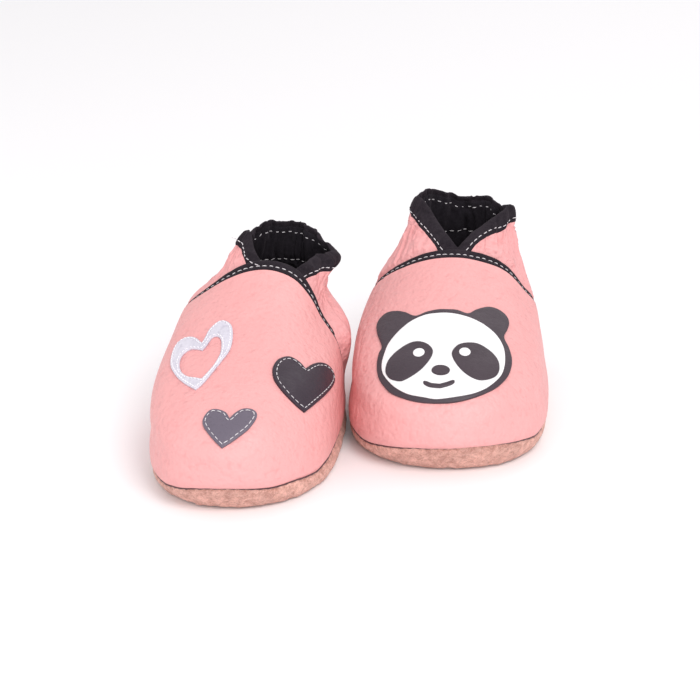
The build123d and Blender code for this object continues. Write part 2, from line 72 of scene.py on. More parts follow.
def pchip(xk, yk, x):
    xk, yk = np.asarray(xk, float), np.asarray(yk, float)
    h = np.diff(xk)
    s = np.diff(yk) / h
    m = np.zeros_like(yk)
    for i in range(1, len(yk) - 1):
        if s[i - 1] * s[i] > 0:
            w1, w2 = 2 * h[i] + h[i - 1], h[i] + 2 * h[i - 1]
            m[i] = (w1 + w2) / (w1 / s[i - 1] + w2 / s[i])
    m[0], m[-1] = s[0], s[-1]
    x = np.clip(np.asarray(x, float), xk[0], xk[-1])
    i = np.clip(np.searchsorted(xk, x) - 1, 0, len(h) - 1)
    t = (x - xk[i]) / h[i]
    return yk[i] * (1 + 2 * t) * (1 - t) ** 2 + h[i] * m[i] * t * (1 - t) ** 2 + yk[i + 1] * t * t * (3 - 2 * t) + h[i] * m[i + 1] * t * t * (t - 1)


ZT = np.arange(-4.0, 82.0, 0.05)
ZK = [z if z <= 6 else 6 + (z - 6) * RISE for z, *_ in STATIONS]
_k = np.exp(-0.5 * (np.arange(-60, 61) * 0.05 / 1.3) ** 2)
_k /= _k.sum()
TAB = []
for c in range(1, 7):
    col = [row[c] for row in STATIONS]
    if c == 5:
        col = [TOE_SQUARE if row[0] < 32 else row[5] for row in STATIONS]
    y = pchip(ZK, col, ZT)
    pad = np.concatenate([2 * y[0] - y[60:0:-1], y, 2 * y[-1] - y[-2:-62:-1]])
    TAB.append(np.convolve(pad, _k, "valid"))


KN = {}


def soft_knots(vals, z):
    """Width factor at height z, the knots joined by a rounded line."""
    key = tuple(vals)
    if key not in KN:
        y = np.interp(ZT, KNOTS, vals)
        pad = np.concatenate([np.full(80, y[0]), y, np.full(80, y[-1])])
        k = np.exp(-0.5 * (np.arange(-80, 81) * 0.05 / 2.0) ** 2)
        KN[key] = np.convolve(pad, k / k.sum(), "valid")
    return np.interp(z, ZT, KN[key])


def surf(z, th, w):
    z = np.asarray(z, float)
    front, back, hw, yc, nf, nb = [np.interp(z, ZT, t) for t in TAB]
    nf = nf + (w["toe"] - TOE_SQUARE) * np.interp(z, (30.0, 40.0), (1.0, 0.0))
    c, s = np.cos(th), np.sin(th)
    fl, fr = soft_knots(w["L"], z), soft_knots(w["R"], z)
    side = fl + (fr - fl) * (0.5 + 0.5 * np.tanh(s * 4.0))
    n = np.where(c < 0, nf, nb)
    ln = np.where(c < 0, yc - front, back - yc)
    r = (np.abs(c) ** n + np.abs(s) ** n) ** (-1 / n)
    lean = w["lean"] * np.clip(z - SEAM_Z, 0, None)
    return np.stack(np.broadcast_arrays(hw * side * r * s + lean, yc + ln * r * c, z), -1)


def norm(v):
    return v / np.maximum(np.linalg.norm(v, axis=-1, keepdims=True), 1e-9)


def surf_n(z, th, w):
    dz = surf(np.asarray(z) + 0.5, th, w) - surf(np.asarray(z) - 0.5, th, w)
    dt = surf(z, th + 0.012, w) - surf(z, th - 0.012, w)
    n = norm(np.cross(dt, dz))
    p = surf(z, th, w)
    mid = np.array([0.0, 20.0])
    flip = np.sign(np.median(((p[..., :2] - mid) * n[..., :2]).sum(-1)))
    return n * flip


def lattice(x, y, seed, px=0):
    """Smooth value noise, -1 to 1; periodic in x with px cells where px is given."""
    rng = np.random.default_rng(seed)
    g = rng.uniform(-1, 1, (257, 257))
    xi, yi = np.floor(x).astype(int), np.floor(y).astype(int)
    fx, fy = x - xi, y - yi
    fx, fy = fx * fx * fx * (fx * (fx * 6 - 15) + 10), fy * fy * fy * (fy * (fy * 6 - 15) + 10)
    m = px if px else 256
    x0, x1 = xi % m, (xi + 1) % m
    y0, y1 = yi % 256, (yi + 1) % 256
    return (g[x0, y0] * (1 - fx) + g[x1, y0] * fx) * (1 - fy) + (g[x0, y1] * (1 - fx) + g[x1, y1] * fx) * fy


def gauss(x, s):
    return np.exp(-0.5 * (x / s) ** 2)


def sstep(a, b, x):
    t = np.clip((x - a) / (b - a), 0, 1)
    return t * t * (3 - 2 * t)


def wrap(a):
    return (np.asarray(a) + math.pi) % (2 * math.pi) - math.pi


DEG = math.pi / 180


def swell(name, z, th):
    """Soft, slow shape of the hand-made upper: outward shift in mm."""
    t = wrap(th)
    u = t / (2 * math.pi) * 14
    seed = 5 if name == "panda" else 9
    d = 0.35 * lattice(u + 50, z / 13.0 + 3, seed, 14) * sstep(8, 20, z)
    if name == "hearts":
        sh = SHOES[name]
        behind = sstep(0, 6, surf(z, th, sh["width"])[..., 1] + sh["slope"] * np.asarray(z) - sh["edge"])
        flare = 4.6 * gauss(t - 62 * DEG, 0.20) * gauss(z - 33, 8.0)
        flare = flare + 6.0 * gauss(t - 74 * DEG, 0.30) * gauss(z - 58, 4.0) - 1.6 * gauss(t - 76 * DEG, 0.3) * gauss(z - 46, 4.0)
        flare = flare + 1.0 * gauss(t + 62 * DEG, 0.25) * gauss(z - 36, 9) - 3.2 * gauss(t + 80 * DEG, 0.45) * sstep(42, 58, z)
        d = d + flare * behind
    else:
        d = d - 0.8 * gauss(t + 70 * DEG, 0.3) * gauss(z - 46, 6) - 2.2 * gauss(t - 85 * DEG, 0.3) * gauss(z - 64, 4.0)
        flank = gauss(t + 95 * DEG, 0.42) * sstep(9, 15, z) * sstep(50, 42, z)
        warp = lattice(u * 3 + 42, z / 9.0, seed + 3, 42)
        crease = 1 - np.abs(lattice(u * 9 + 126 + warp, z / 5.0 + 2 * warp, seed + 4, 126)) * 2.2
        d = d - 0.34 * np.clip(crease, 0, 1) ** 2 * flank
    return d


SEAM_BY_ANGLE = {
    "panda": [(-180, 2.0), (-166, 0.9), (-154, -0.2), (-143, -1.6), (-130, -2.8), (-110, -2.8), (-90, -2.2), (-70, -1.2), (-40, -0.2), (0, 0.0), (40, -0.2), (75, -1.0), (100, -2.0), (119, -1.8), (131, 0.3), (145, 1.9), (158, 2.1), (169, 1.8), (180, 2.0)],
    "hearts": [(-180, 1.0), (-168, 0.4), (-156, -1.4), (-144, -2.7), (-125, -3.0), (-100, -2.6), (-70, -1.2), (-40, -0.3), (0, 0.0), (40, -1.4), (60, -2.8), (85, -3.2), (111, -2.8), (126, -1.3), (138, -0.8), (149, -0.1), (160, 0.8), (170, 1.2), (180, 1.0)],
}


def seam_wave(name, th):
    seed = 21 if name == "panda" else 33
    u = wrap(th) / (2 * math.pi)
    a, h = np.array(SEAM_BY_ANGLE[name], float).T
    slow = np.interp(np.degrees(wrap(th)), a, h)
    return slow + 0.35 * lattice(u * 22 + 44, u * 0 + 1.5, seed, 22) + 0.18 * lattice(u * 50 + 100, u * 0 + 7.5, seed, 50)


def base(name, z, th, d=0.0):
    """Point on the upper at depth d below its outer face, and the outward normal."""
    w = SHOES[name]["width"]
    p, n = surf(z, th, w), surf_n(z, th, w)
    q = p + n * (swell(name, z, th) - d)[..., None]
    lift = seam_wave(name, th) * np.exp(-np.clip(np.asarray(z) - SEAM_Z, 0, None) / 3.5) * sstep(0.5, SEAM_Z, z)
    q[..., 2] += lift
    return q, n


def to_world(name, p):
    s = SHOES[name]
    a = s["turn"] * DEG
    c, d = math.cos(a), math.sin(a)
    x = p[..., 0] * c - p[..., 1] * d + s["at"][0]
    y = p[..., 0] * d + p[..., 1] * c + s["at"][1]
    return np.stack([x, y, p[..., 2]], -1) / 1000.0


# ------------------------------------------------------------------ mesh helpers
def mesh_object(full, verts, faces, mat, smooth=True):
    me = bpy.data.meshes.new(full)
    verts = np.asarray(verts, np.float32)
    faces = np.asarray(faces, np.int32)
    me.vertices.add(len(verts))
    me.vertices.foreach_set("co", verts.ravel())
    k = faces.shape[1]
    me.loops.add(faces.size)
    me.loops.foreach_set("vertex_index", faces.ravel())
    me.polygons.add(len(faces))
    me.polygons.foreach_set("loop_start", np.arange(0, faces.size, k, dtype=np.int32))
    me.polygons.foreach_set("loop_total", np.full(len(faces), k, np.int32))
    me.update(calc_edges=True)
    me.validate()
    if smooth:
        me.polygons.foreach_set("use_smooth", np.ones(len(me.polygons), bool))
    ob = bpy.data.objects.new(full, me)
    bpy.context.scene.collection.objects.link(ob)
    me.materials.append(mat)
    return ob


def tube_grid(ring_count, ring_size):
    """Quads of a grid closed the second way."""
    i, j = np.meshgrid(np.arange(ring_count - 1), np.arange(ring_size), indexing="ij")
    a = i * ring_size + j
    b = i * ring_size + (j + 1) % ring_size
    return np.stack([a, b, b + ring_size, a + ring_size], -1).reshape(-1, 4)


def open_grid(nu, nv, start=0):
    i, j = np.meshgrid(np.arange(nu - 1), np.arange(nv - 1), indexing="ij")
    a = start + i * nv + j
    return np.stack([a, a + 1, a + nv + 1, a + nv], -1).reshape(-1, 4)


def section_sweep(rings, caps=True):
    """Closed solid from rings of points (count, size, 3), with fan caps."""
    n, k, _ = rings.shape
    v = rings.reshape(-1, 3)
    f = tube_grid(n, k)
    if not caps:
        j = np.arange(k)
        f = np.concatenate([f, np.stack([(n - 1) * k + j, (n - 1) * k + (j + 1) % k, (j + 1) % k, j], -1)])
        return v, f
    c0, c1 = rings[0].mean(0), rings[-1].mean(0)
    v = np.concatenate([v, [c0, c1]])
    tri = []
    m = n * k
    for j in range(k):
        tri.append((m, (j + 1) % k, j, j))
        tri.append((m + 1, (n - 1) * k + j, (n - 1) * k + (j + 1) % k, (n - 1) * k + (j + 1) % k))
    return v, f, tri


def add_mesh(name, node, rings_list, mat, flip=False):
    """One object from several closed sweeps."""
    V, F, T, off = [], [], [], 0
    for r, caps in rings_list:
        got = section_sweep(r, caps)
        v, f = got[0], got[1]
        V.append(v)
        F.append(f + off)
        if caps:
            T += [(a + off, b + off, c + off) for a, b, c, _ in got[2]]
        off += len(v)
    V = np.concatenate(V)
    F = np.concatenate(F)
    me = bpy.data.meshes.new(f"{name}_{node}_look")
    loops = np.concatenate([F.ravel(), np.array(T, np.int64).ravel()]) if T else F.ravel()
    tot = np.concatenate([np.full(len(F), 4), np.full(len(T), 3)]) if T else np.full(len(F), 4)
    st = np.concatenate([[0], np.cumsum(tot)[:-1]])
    W = to_world(name, V)
    me.vertices.add(len(W))
    me.vertices.foreach_set("co", W.astype(np.float32).ravel())
    me.loops.add(len(loops))
    me.loops.foreach_set("vertex_index", loops.astype(np.int32))
    me.polygons.add(len(tot))
    me.polygons.foreach_set("loop_start", st.astype(np.int32))
    me.polygons.foreach_set("loop_total", tot.astype(np.int32))
    me.update(calc_edges=True)
    me.validate()
    me.polygons.foreach_set("use_smooth", np.ones(len(me.polygons), bool))
    # outward normals
    import bmesh
    bm = bmesh.new()
    bm.from_mesh(me)
    bmesh.ops.recalc_face_normals(bm, faces=bm.faces)
    bm.to_mesh(me)
    bm.free()
    ob = bpy.data.objects.new(f"{name}_{node}_look", me)
    bpy.context.scene.collection.objects.link(ob)
    me.materials.append(mat)
    place(ob, name, node)
    return ob


def place(ob, name, node, slot=None):
    full = f"{name}_{node}"
    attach(ob, SHOES[name]["body"])
    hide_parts(full)
    return ob


def sheet_rings(outer, inner, bulge=0.45):
    """Rings round a strip: outer and inner are (count, k, 3) grids; each ring goes over the outer face,
    round the edge, back under and round the other edge."""
    def edge(o, i, o_in):
        mid = (o + i) / 2
        out = norm(o - o_in) * np.linalg.norm(o - i, axis=-1, keepdims=True) * bulge
        q1, q3 = o * 0.8 + i * 0.2 + out * 0.75, o * 0.2 + i * 0.8 + out * 0.75
        return [q1, mid + out, q3]
    e1 = edge(outer[:, -1], inner[:, -1], outer[:, -2])
    e0 = edge(outer[:, 0], inner[:, 0], outer[:, 1])
    parts = [outer] + [e[:, None] for e in e1] + [inner[:, ::-1]] + [e[:, None] for e in e0[::-1]]
    return np.concatenate(parts, 1)


# ------------------------------------------------------------------ procedural materials
def nodes_of(mat):
    mat.use_nodes = True
    nt = mat.node_tree
    nt.nodes.clear()
    out = nt.nodes.new("ShaderNodeOutputMaterial")
    bs = nt.nodes.new("ShaderNodeBsdfPrincipled")
    nt.links.new(bs.outputs[0], out.inputs[0])
    return nt, bs


def tex_coord(nt, scale=(1, 1, 1)):
    tc = nt.nodes.new("ShaderNodeTexCoord")
    mp = nt.nodes.new("ShaderNodeMapping")
    mp.inputs["Scale"].default_value = scale
    nt.links.new(tc.outputs["Object"], mp.inputs[0])
    return mp.outputs[0]


def noise(nt, co, scale, detail=3, rough=0.55, distort=0.0):
    n = nt.nodes.new("ShaderNodeTexNoise")
    n.inputs["Scale"].default_value = scale
    n.inputs["Detail"].default_value = detail
    n.inputs["Roughness"].default_value = rough
    n.inputs["Distortion"].default_value = distort
    nt.links.new(co, n.inputs["Vector"])
    return n.outputs["Fac"]


def voronoi(nt, co, scale, feature="DISTANCE_TO_EDGE", jitter=1.0):
    n = nt.nodes.new("ShaderNodeTexVoronoi")
    n.feature = feature
    n.inputs["Scale"].default_value = scale
    n.inputs["Randomness"].default_value = jitter
    nt.links.new(co, n.inputs["Vector"])
    return n.outputs["Distance"]


def ramp(nt, fac, stops):
    r = nt.nodes.new("ShaderNodeValToRGB")
    el = r.color_ramp.elements
    while len(el) < len(stops):
        el.new(0.5)
    for e, (p, c) in zip(el, stops):
        e.position = p
        e.color = (*c, 1) if len(c) == 3 else c
    nt.links.new(fac, r.inputs[0])
    return r.outputs[0]


def bump(nt, height, strength, dist, prev=None):
    b = nt.nodes.new("ShaderNodeBump")
    b.inputs["Strength"].default_value = strength
    b.inputs["Distance"].default_value = dist
    nt.links.new(height, b.inputs["Height"])
    if prev is not None:
        nt.links.new(prev, b.inputs["Normal"])
    return b.outputs[0]


def maths(nt, op, a, b):
    m = nt.nodes.new("ShaderNodeMath")
    m.operation = op
    for i, v in enumerate((a, b)):
        if isinstance(v, (int, float)):
            m.inputs[i].default_value = v
        else:
            nt.links.new(v, m.inputs[i])
    return m.outputs[0]


def mixc(nt, fac, a, b, mode="MIX"):
    m = nt.nodes.new("ShaderNodeMix")
    m.data_type = "RGBA"
    m.blend_type = mode
    for key, v in (("Factor", fac), ("A", a), ("B", b)):
        s = [i for i in m.inputs if i.name == key and (i.type == ("VALUE" if key == "Factor" else "RGBA"))][0]
        if isinstance(v, (int, float)):
            s.default_value = v
        elif isinstance(v, tuple):
            s.default_value = (*v, 1)
        else:
            nt.links.new(v, s)
    return [o for o in m.outputs if o.type == "RGBA"][0]


# crease: colour laid into the grain's recesses where the bump sinks, which is painted shade
def leather(name, light, dark, crease, grain=1150, rough=(0.42, 0.6), depth=0.00012, spec=0.45, pebble=1.0, stretch=(1, 1, 1)):
    mat = bpy.data.materials.new(name)
    nt, bs = nodes_of(mat)
    co = tex_coord(nt, stretch)
    wob = nt.nodes.new("ShaderNodeTexNoise")
    wob.inputs["Scale"].default_value = 420
    wob.inputs["Detail"].default_value = 2
    nt.links.new(co, wob.inputs["Vector"])
    add = nt.nodes.new("ShaderNodeVectorMath")
    add.operation = "MULTIPLY_ADD"
    add.inputs[1].default_value = (0.0011, 0.0011, 0.0011)
    nt.links.new(wob.outputs["Color"], add.inputs[0])
    nt.links.new(co, add.inputs[2])
    v1 = voronoi(nt, add.outputs[0], grain, "SMOOTH_F1")
    v2 = voronoi(nt, add.outputs[0], grain * 0.42, "SMOOTH_F1")
    cells = ramp(nt, v1, [(0.15, (1, 1, 1)), (0.85, (0, 0, 0))])
    folds = ramp(nt, v2, [(0.15, (1, 1, 1)), (0.9, (0, 0, 0))])
    fine = noise(nt, co, 3600, 3, 0.6)
    big = noise(nt, co, 60, 4, 0.55, 0.4)
    mid = noise(nt, co, 260, 3, 0.5)
    b1 = bump(nt, folds, 0.55 * pebble, depth * 3.0)
    b2 = bump(nt, cells, 0.75 * pebble, depth * 1.5, b1)
    b3 = bump(nt, fine, 0.25, depth * 0.35, b2)
    b4 = bump(nt, mid, 0.5, depth * 2.0, b3)
    nt.links.new(b4, bs.inputs["Normal"])
    tone = ramp(nt, big, [(0.3, dark), (0.7, light)])
    # the crease colour follows the bump's recesses: painted shade in the grain, not the leather's own colour
    recess_shade_mask = maths(nt, "ADD", maths(nt, "MULTIPLY", cells, 0.6), maths(nt, "MULTIPLY", folds, 0.4))
    col = mixc(nt, ramp(nt, recess_shade_mask, [(0.12, (0.8, 0.8, 0.8)), (0.5, (0, 0, 0))]), tone, crease)
    nt.links.new(col, bs.inputs["Base Color"])
    rr = ramp(nt, mid, [(0.3, (rough[0],) * 3), (0.7, (rough[1],) * 3)])
    nt.links.new(rr, bs.inputs["Roughness"])
    bs.inputs["Specular IOR Level"].default_value = spec
    return mat


def suede(name, light, dark, rough=0.93, depth=0.00025, sheen=0.35, scale=1500, tint=(1, 1, 1)):
    mat = bpy.data.materials.new(name)
    nt, bs = nodes_of(mat)
    co = tex_coord(nt)
    a = noise(nt, co, scale, 5, 0.7, 0.3)
    b = noise(nt, co, scale * 0.25, 4, 0.6, 0.5)
    c = noise(nt, co, 90, 3, 0.5, 0.6)
    m = maths(nt, "ADD", maths(nt, "MULTIPLY", a, 0.5), maths(nt, "MULTIPLY", b, 0.5))
    col = ramp(nt, m, [(0.38, dark), (0.50, tuple(0.5 * (x + y) for x, y in zip(dark, light))), (0.60, light)])
    shade = ramp(nt, c, [(0.3, (0.84, 0.84, 0.84)), (0.7, (1.06, 1.06, 1.06))])
    nt.links.new(mixc(nt, 1.0, col, shade, "MULTIPLY"), bs.inputs["Base Color"])
    b1 = bump(nt, b, 0.7, depth * 2)
    b2 = bump(nt, a, 0.8, depth, b1)
    nt.links.new(b2, bs.inputs["Normal"])
    bs.inputs["Roughness"].default_value = rough
    bs.inputs["Specular IOR Level"].default_value = 0.2
    bs.inputs["Sheen Weight"].default_value = sheen
    bs.inputs["Sheen Roughness"].default_value = 0.6
    bs.inputs["Sheen Tint"].default_value = (*tint, 1)
    return mat


def thread_mat(name, light, dark, scale=2600):
    mat = bpy.data.materials.new(name)
    nt, bs = nodes_of(mat)
    co = tex_coord(nt)
    w = noise(nt, co, scale, 2, 0.5, 1.5)
    v = noise(nt, co, 700, 2, 0.5)
    nt.links.new(ramp(nt, maths(nt, "ADD", maths(nt, "MULTIPLY", w, 0.6), maths(nt, "MULTIPLY", v, 0.4)), [(0.35, dark), (0.6, light)]), bs.inputs["Base Color"])
    nt.links.new(bump(nt, w, 0.6, 0.00012), bs.inputs["Normal"])
    bs.inputs["Roughness"].default_value = 0.6
    bs.inputs["Sheen Weight"].default_value = 0.2
    return mat


# each leather's third colour is its crease colour: painted shade in the grain's recesses
M = {
    "pink_leather": leather("pink_leather", (0.825, 0.392, 0.386), (0.80, 0.366, 0.362), (0.73, 0.305, 0.302), grain=820, depth=0.00018),
    "pink_quarter": leather("pink_quarter", (0.83, 0.392, 0.39), (0.79, 0.358, 0.358), (0.69, 0.285, 0.285), grain=720, depth=0.00028),
    "charcoal_leather": leather("charcoal_leather", (0.060, 0.042, 0.054), (0.046, 0.031, 0.041), (0.034, 0.022, 0.030), grain=2100, depth=0.00004, rough=(0.40, 0.52), pebble=0.6, spec=0.4),
    "dark_leather": leather("dark_leather", (0.038, 0.024, 0.037), (0.028, 0.017, 0.028), (0.020, 0.012, 0.020), grain=2100, depth=0.00004, rough=(0.38, 0.50), pebble=0.6, spec=0.35),
    "grey_leather": leather("grey_leather", (0.150, 0.128, 0.166), (0.124, 0.104, 0.140), (0.09, 0.075, 0.10), grain=2100, depth=0.00004, rough=(0.38, 0.50), pebble=0.6, spec=0.4),
    "white_leather": leather("white_leather", (0.90, 0.885, 0.895), (0.87, 0.855, 0.865), (0.82, 0.80, 0.81), grain=1900, depth=0.00004, rough=(0.42, 0.55), pebble=0.5),
    "silver_leather": leather("silver_leather", (0.74, 0.715, 0.79), (0.60, 0.575, 0.66), (0.47, 0.44, 0.53), grain=900, depth=0.00014, rough=(0.30, 0.45), pebble=1.0, spec=0.5),
    "black_binding": suede("black_binding", (0.026, 0.020, 0.026), (0.012, 0.009, 0.013), sheen=0.06, tint=(0.55, 0.42, 0.5), depth=0.00016),
    "black_suede": suede("black_suede", (0.018, 0.015, 0.020), (0.008, 0.006, 0.009), sheen=0.08, tint=(0.5, 0.42, 0.5), depth=0.0002),
    "sole_suede": suede("sole_suede", (0.90, 0.52, 0.44), (0.50, 0.235, 0.185), sheen=0.25, tint=(1, 0.85, 0.8), depth=0.0006, scale=1500),
    "white_thread": thread_mat("white_thread", (0.80, 0.76, 0.78), (0.50, 0.46, 0.49)),
    "rim_thread": thread_mat("rim_thread", (0.93, 0.91, 0.94), (0.74, 0.71, 0.77)),
    "seam_thread": thread_mat("seam_thread", (0.12, 0.045, 0.05), (0.05, 0.018, 0.022)),
    "elastic": thread_mat("elastic", (0.80, 0.80, 0.78), (0.55, 0.55, 0.53), 1800),
    "foam": suede("foam", (0.82, 0.80, 0.74), (0.68, 0.66, 0.60), sheen=0.1, scale=900),
}
M["charcoal_edge"] = M["charcoal_leather"]


# ------------------------------------------------------------------ run finders on the surface
def edge_th(name, z, shift=0.0):
    """Angle on the +X side where the level curve meets the vamp's edge plane; nan above the apex."""
    s = SHOES[name]
    out = np.full(len(z), np.nan)
    ths = np.linspace(0.0, math.pi, 1500)
    for i, zz in enumerate(z):
        p = surf(np.full_like(ths, zz), ths, s["width"])
        f = p[:, 1] + s["slope"] * zz - s["edge"] - shift
        if f[-1] < 0:
            k = int(np.argmax(f < 0))
            if k == 0:
                out[i] = 0
                continue
            a, b = f[k - 1], f[k]
            out[i] = ths[k - 1] + (ths[k] - ths[k - 1]) * a / (a - b)
    return out


def apex_z(name, shift=0.0):
    s = SHOES[name]
    zz = np.linspace(8, 75, 6000)
    p = surf(zz, np.full_like(zz, math.pi), s["width"])
    f = p[:, 1] + s["slope"] * zz - s["edge"] - shift
    k = int(np.argmax(f > 0))
    return zz[k - 1] + (zz[k] - zz[k - 1]) * (-f[k - 1]) / (f[k] - f[k - 1])


def edge_levels(name, rows, z0, shift=0.0):
    """Heights from z0 to the apex, evenly spaced along the edge curve."""
    za = apex_z(name, shift)
    u = np.linspace(0, 1, 900)
    zz = z0 + (za - z0) * (1 - (1 - u) ** 2)
    th = edge_th(name, zz, shift)
    th[np.isnan(th)] = math.pi
    p = surf(zz, th, SHOES[name]["width"])
    s = np.concatenate([[0], np.cumsum(np.linalg.norm(np.diff(p, axis=0), axis=1))])
    t = np.linspace(0, s[-1], rows)
    z = np.interp(t, s, zz)
    return z, np.interp(z, zz, th)


def edge_curve(name, count, shift=0.0, z0=8.2):
    """Points' (z, th) all along the vamp's edge, from the left foot of the arch to the right one."""
    z, th = edge_levels(name, count // 2, z0, shift)
    zl, tl = z, -th
    zr, tr = z[::-1][1:], th[::-1][1:]
    return np.concatenate([zl, zr]), np.concatenate([tl, tr])


def even(points, count):
    s = np.concatenate([[0], np.cumsum(np.linalg.norm(np.diff(points, axis=0), axis=1))])
    t = np.linspace(0, s[-1], count)
    return np.stack([np.interp(t, s, points[:, k]) for k in range(points.shape[1])], -1), s[-1]


def capsules(run, nrm, length, pitch, rad, jitter, seed, flat=0.75, sink=0.0, arch=0.25):
    """Stitches along a run: list of ring stacks."""
    rng = np.random.default_rng(seed)
    s = np.concatenate([[0], np.cumsum(np.linalg.norm(np.diff(run, axis=0), axis=1))])
    n = max(1, int(s[-1] // pitch))
    out = []
    for i in range(n):
        mid = (i + 0.5) * s[-1] / n + rng.uniform(-0.1, 0.1) * jitter
        half = length / 2 * (1 + rng.uniform(-0.12, 0.12) * jitter)
        ts = np.linspace(-1, 1, 9)
        q = np.clip(mid + ts * half, 0, s[-1])
        c = np.stack([np.interp(q, s, run[:, k]) for k in range(3)], -1)
        m = norm(np.stack([np.interp(q, s, nrm[:, k]) for k in range(3)], -1))
        tan = norm(np.gradient(c, axis=0))
        b = norm(np.cross(m, tan))
        c = c + b * (rng.uniform(-0.08, 0.08) * jitter)
        r = rad * np.sqrt(np.clip(1 - np.abs(ts) ** 3.2, 0.03, 1))
        h = (arch * rad * (1 - ts ** 2) * 2 - sink - rad * 0.9 * np.abs(ts) ** 4)
        a = np.linspace(0, 2 * math.pi, 9, endpoint=False)
        ring = c[:, None] + m[:, None] * (h[:, None, None] + (np.cos(a)[None, :, None] * r[:, None, None] * flat)) + b[:, None] * (np.sin(a)[None, :, None] * r[:, None, None])
        out.append((ring, True))
    return out


# ------------------------------------------------------------------ per bootie: collar lines
def collar_lines(name):
    """Height of the pink edge and of the collar's top against angle from the heel, degrees, + towards +X."""
    if name == "panda":
        pink = [(-180, 56.6), (-168, 56.8), (-161, 57.8), (-157, 58.8), (-150, 60.3), (-138, 62.2), (-122, 64.0), (-101, 65.2), (-80, 65.2), (-40, 64.6), (0, 61.6), (40, 61.2), (66, 60.4), (80, 61.4), (94, 63.0), (106, 64.0), (118, 63.6), (128, 62.6), (144, 62.3), (155, 61.2), (163, 59.6), (168, 58.0), (174, 56.8), (180, 56.6)]
        top = [(-180, 59.0), (-174, 60.6), (-168, 62.2), (-153, 65.7), (-138, 68.6), (-122, 70.6), (-105, 71.0), (-88, 70.0), (-74, 70.2), (-52, 71.2), (-40, 70.2), (-28, 69.2), (-15, 68.2), (-6, 66.4), (6, 66.8), (29, 67.6), (40, 66.2), (50, 64.6), (62, 65.6), (76, 66.8), (86, 66.4), (94, 67.6), (104, 68.6), (116, 68.4), (130, 67.8), (144, 66.7), (154, 65.4), (165, 63.6), (174, 60.8), (180, 59.0)]
    else:
        pink = [(-180, 60.0), (-165, 60.4), (-150, 61.6), (-141, 63.6), (-132, 65.2), (-115, 65.2), (-95, 64.0), (-70, 61.8), (-40, 62.4), (0, 63.2), (40, 62.4), (60, 58.6), (74, 54.6), (86, 54.2), (96, 55.8), (105, 57.0), (120, 57.0), (132, 56.4), (150, 56.8), (168, 58.6), (180, 60.0)]
        top = [(-180, 61.6), (-165, 63.6), (-150, 66.0), (-140, 67.8), (-128, 69.2), (-112, 69.2), (-95, 68.0), (-78, 65.6), (-66, 64.4), (-57, 66.2), (-47, 67.0), (-38, 68.4), (-28, 68.6), (-13, 67.6), (6, 67.6), (32, 67.2), (48, 66.4), (58, 65.4), (70, 62.8), (80, 60.8), (92, 61.0), (105, 61.8), (120, 61.6), (140, 60.6), (160, 60.2), (172, 60.8), (180, 61.6)]
    return pink, top


def line_at(pts, th):
    a = np.degrees(wrap(th))
    x = np.array([p[0] for p in pts], float)
    y = np.array([p[1] for p in pts], float)
    g = np.linspace(-180, 180, 1441)
    v = np.interp(g, x, y)
    k = gauss(np.arange(-20, 21), 7.0)
    k /= k.sum()
    vv = np.concatenate([v[-21:-1], v, v[1:21]])
    v = np.convolve(vv, k, "valid")
    return np.interp(a, g, v)


def ruffle(name, th, z):
    """Outward waviness of the gathered collar, mm."""
    u = wrap(th) / (2 * math.pi)
    seed = 61 if name == "panda" else 77
    gate = sstep(128 * DEG, 100 * DEG, np.abs(wrap(th)))
    r = 1.15 * lattice(u * 34 + 68, z / 16.0 + 2, seed, 34) + 0.6 * lattice(u * 62 + 62, z / 11.0 + 5, seed + 1, 62)
    return r * gate * sstep(48, 62, z)


def gathers(name, th, z):
    """Wrinkles that run down from the elastic on the quarter's outside."""
    t = wrap(th)
    u = t / (2 * math.pi)
    seed = 81 if name == "panda" else 95
    warp = 1.1 * lattice(u * 9 + 90, z / 14.0, seed + 5, 9)
    a = lattice(u * 46 + 46 + warp, z / 11.0 + warp, seed, 46)
    b = lattice(u * 84 + 84 + warp * 2, z / 6.5 + 1.3 * warp, seed + 1, 84)
    fold = 1 - np.abs(a) * 2.0
    amp = gauss(z - 57, 8.5) * (0.45 + 0.55 * sstep(170 * DEG, 128 * DEG, np.abs(t)))
    side = 0.75 + 0.45 * (np.sin(t) > 0)
    low = 0.35 * gauss(z - 38, 10)
    return (0.80 * fold * np.clip(fold, 0, 1) + 0.42 * b) * (amp * side + low) * 1.25 - 0.15 * amp


def quarter_pt(name, z, th, d):
    s = SHOES[name]
    p, n = base(name, z, th, 0.0)
    e = p[..., 1] + s["slope"] * p[..., 2] - s["edge"]
    under = sstep(8.2, 4.9, e)
    gath = gathers(name, th, z) * (1 - under) + ruffle(name, th, z)
    return p + n * (gath - d - 0.25 - 1.55 * under)[..., None], n


# ------------------------------------------------------------------ build one bootie's common pieces
RES = 1.0
CAV = {}


def res(n):
    return int(n * RES)


def roll(z, depth=1.1, height=1.6):
    """The turned lower edge of the upper rolls in to the seam."""
    return depth * (1 - np.clip((z - SEAM_Z) / height, 0, 1)) ** 2


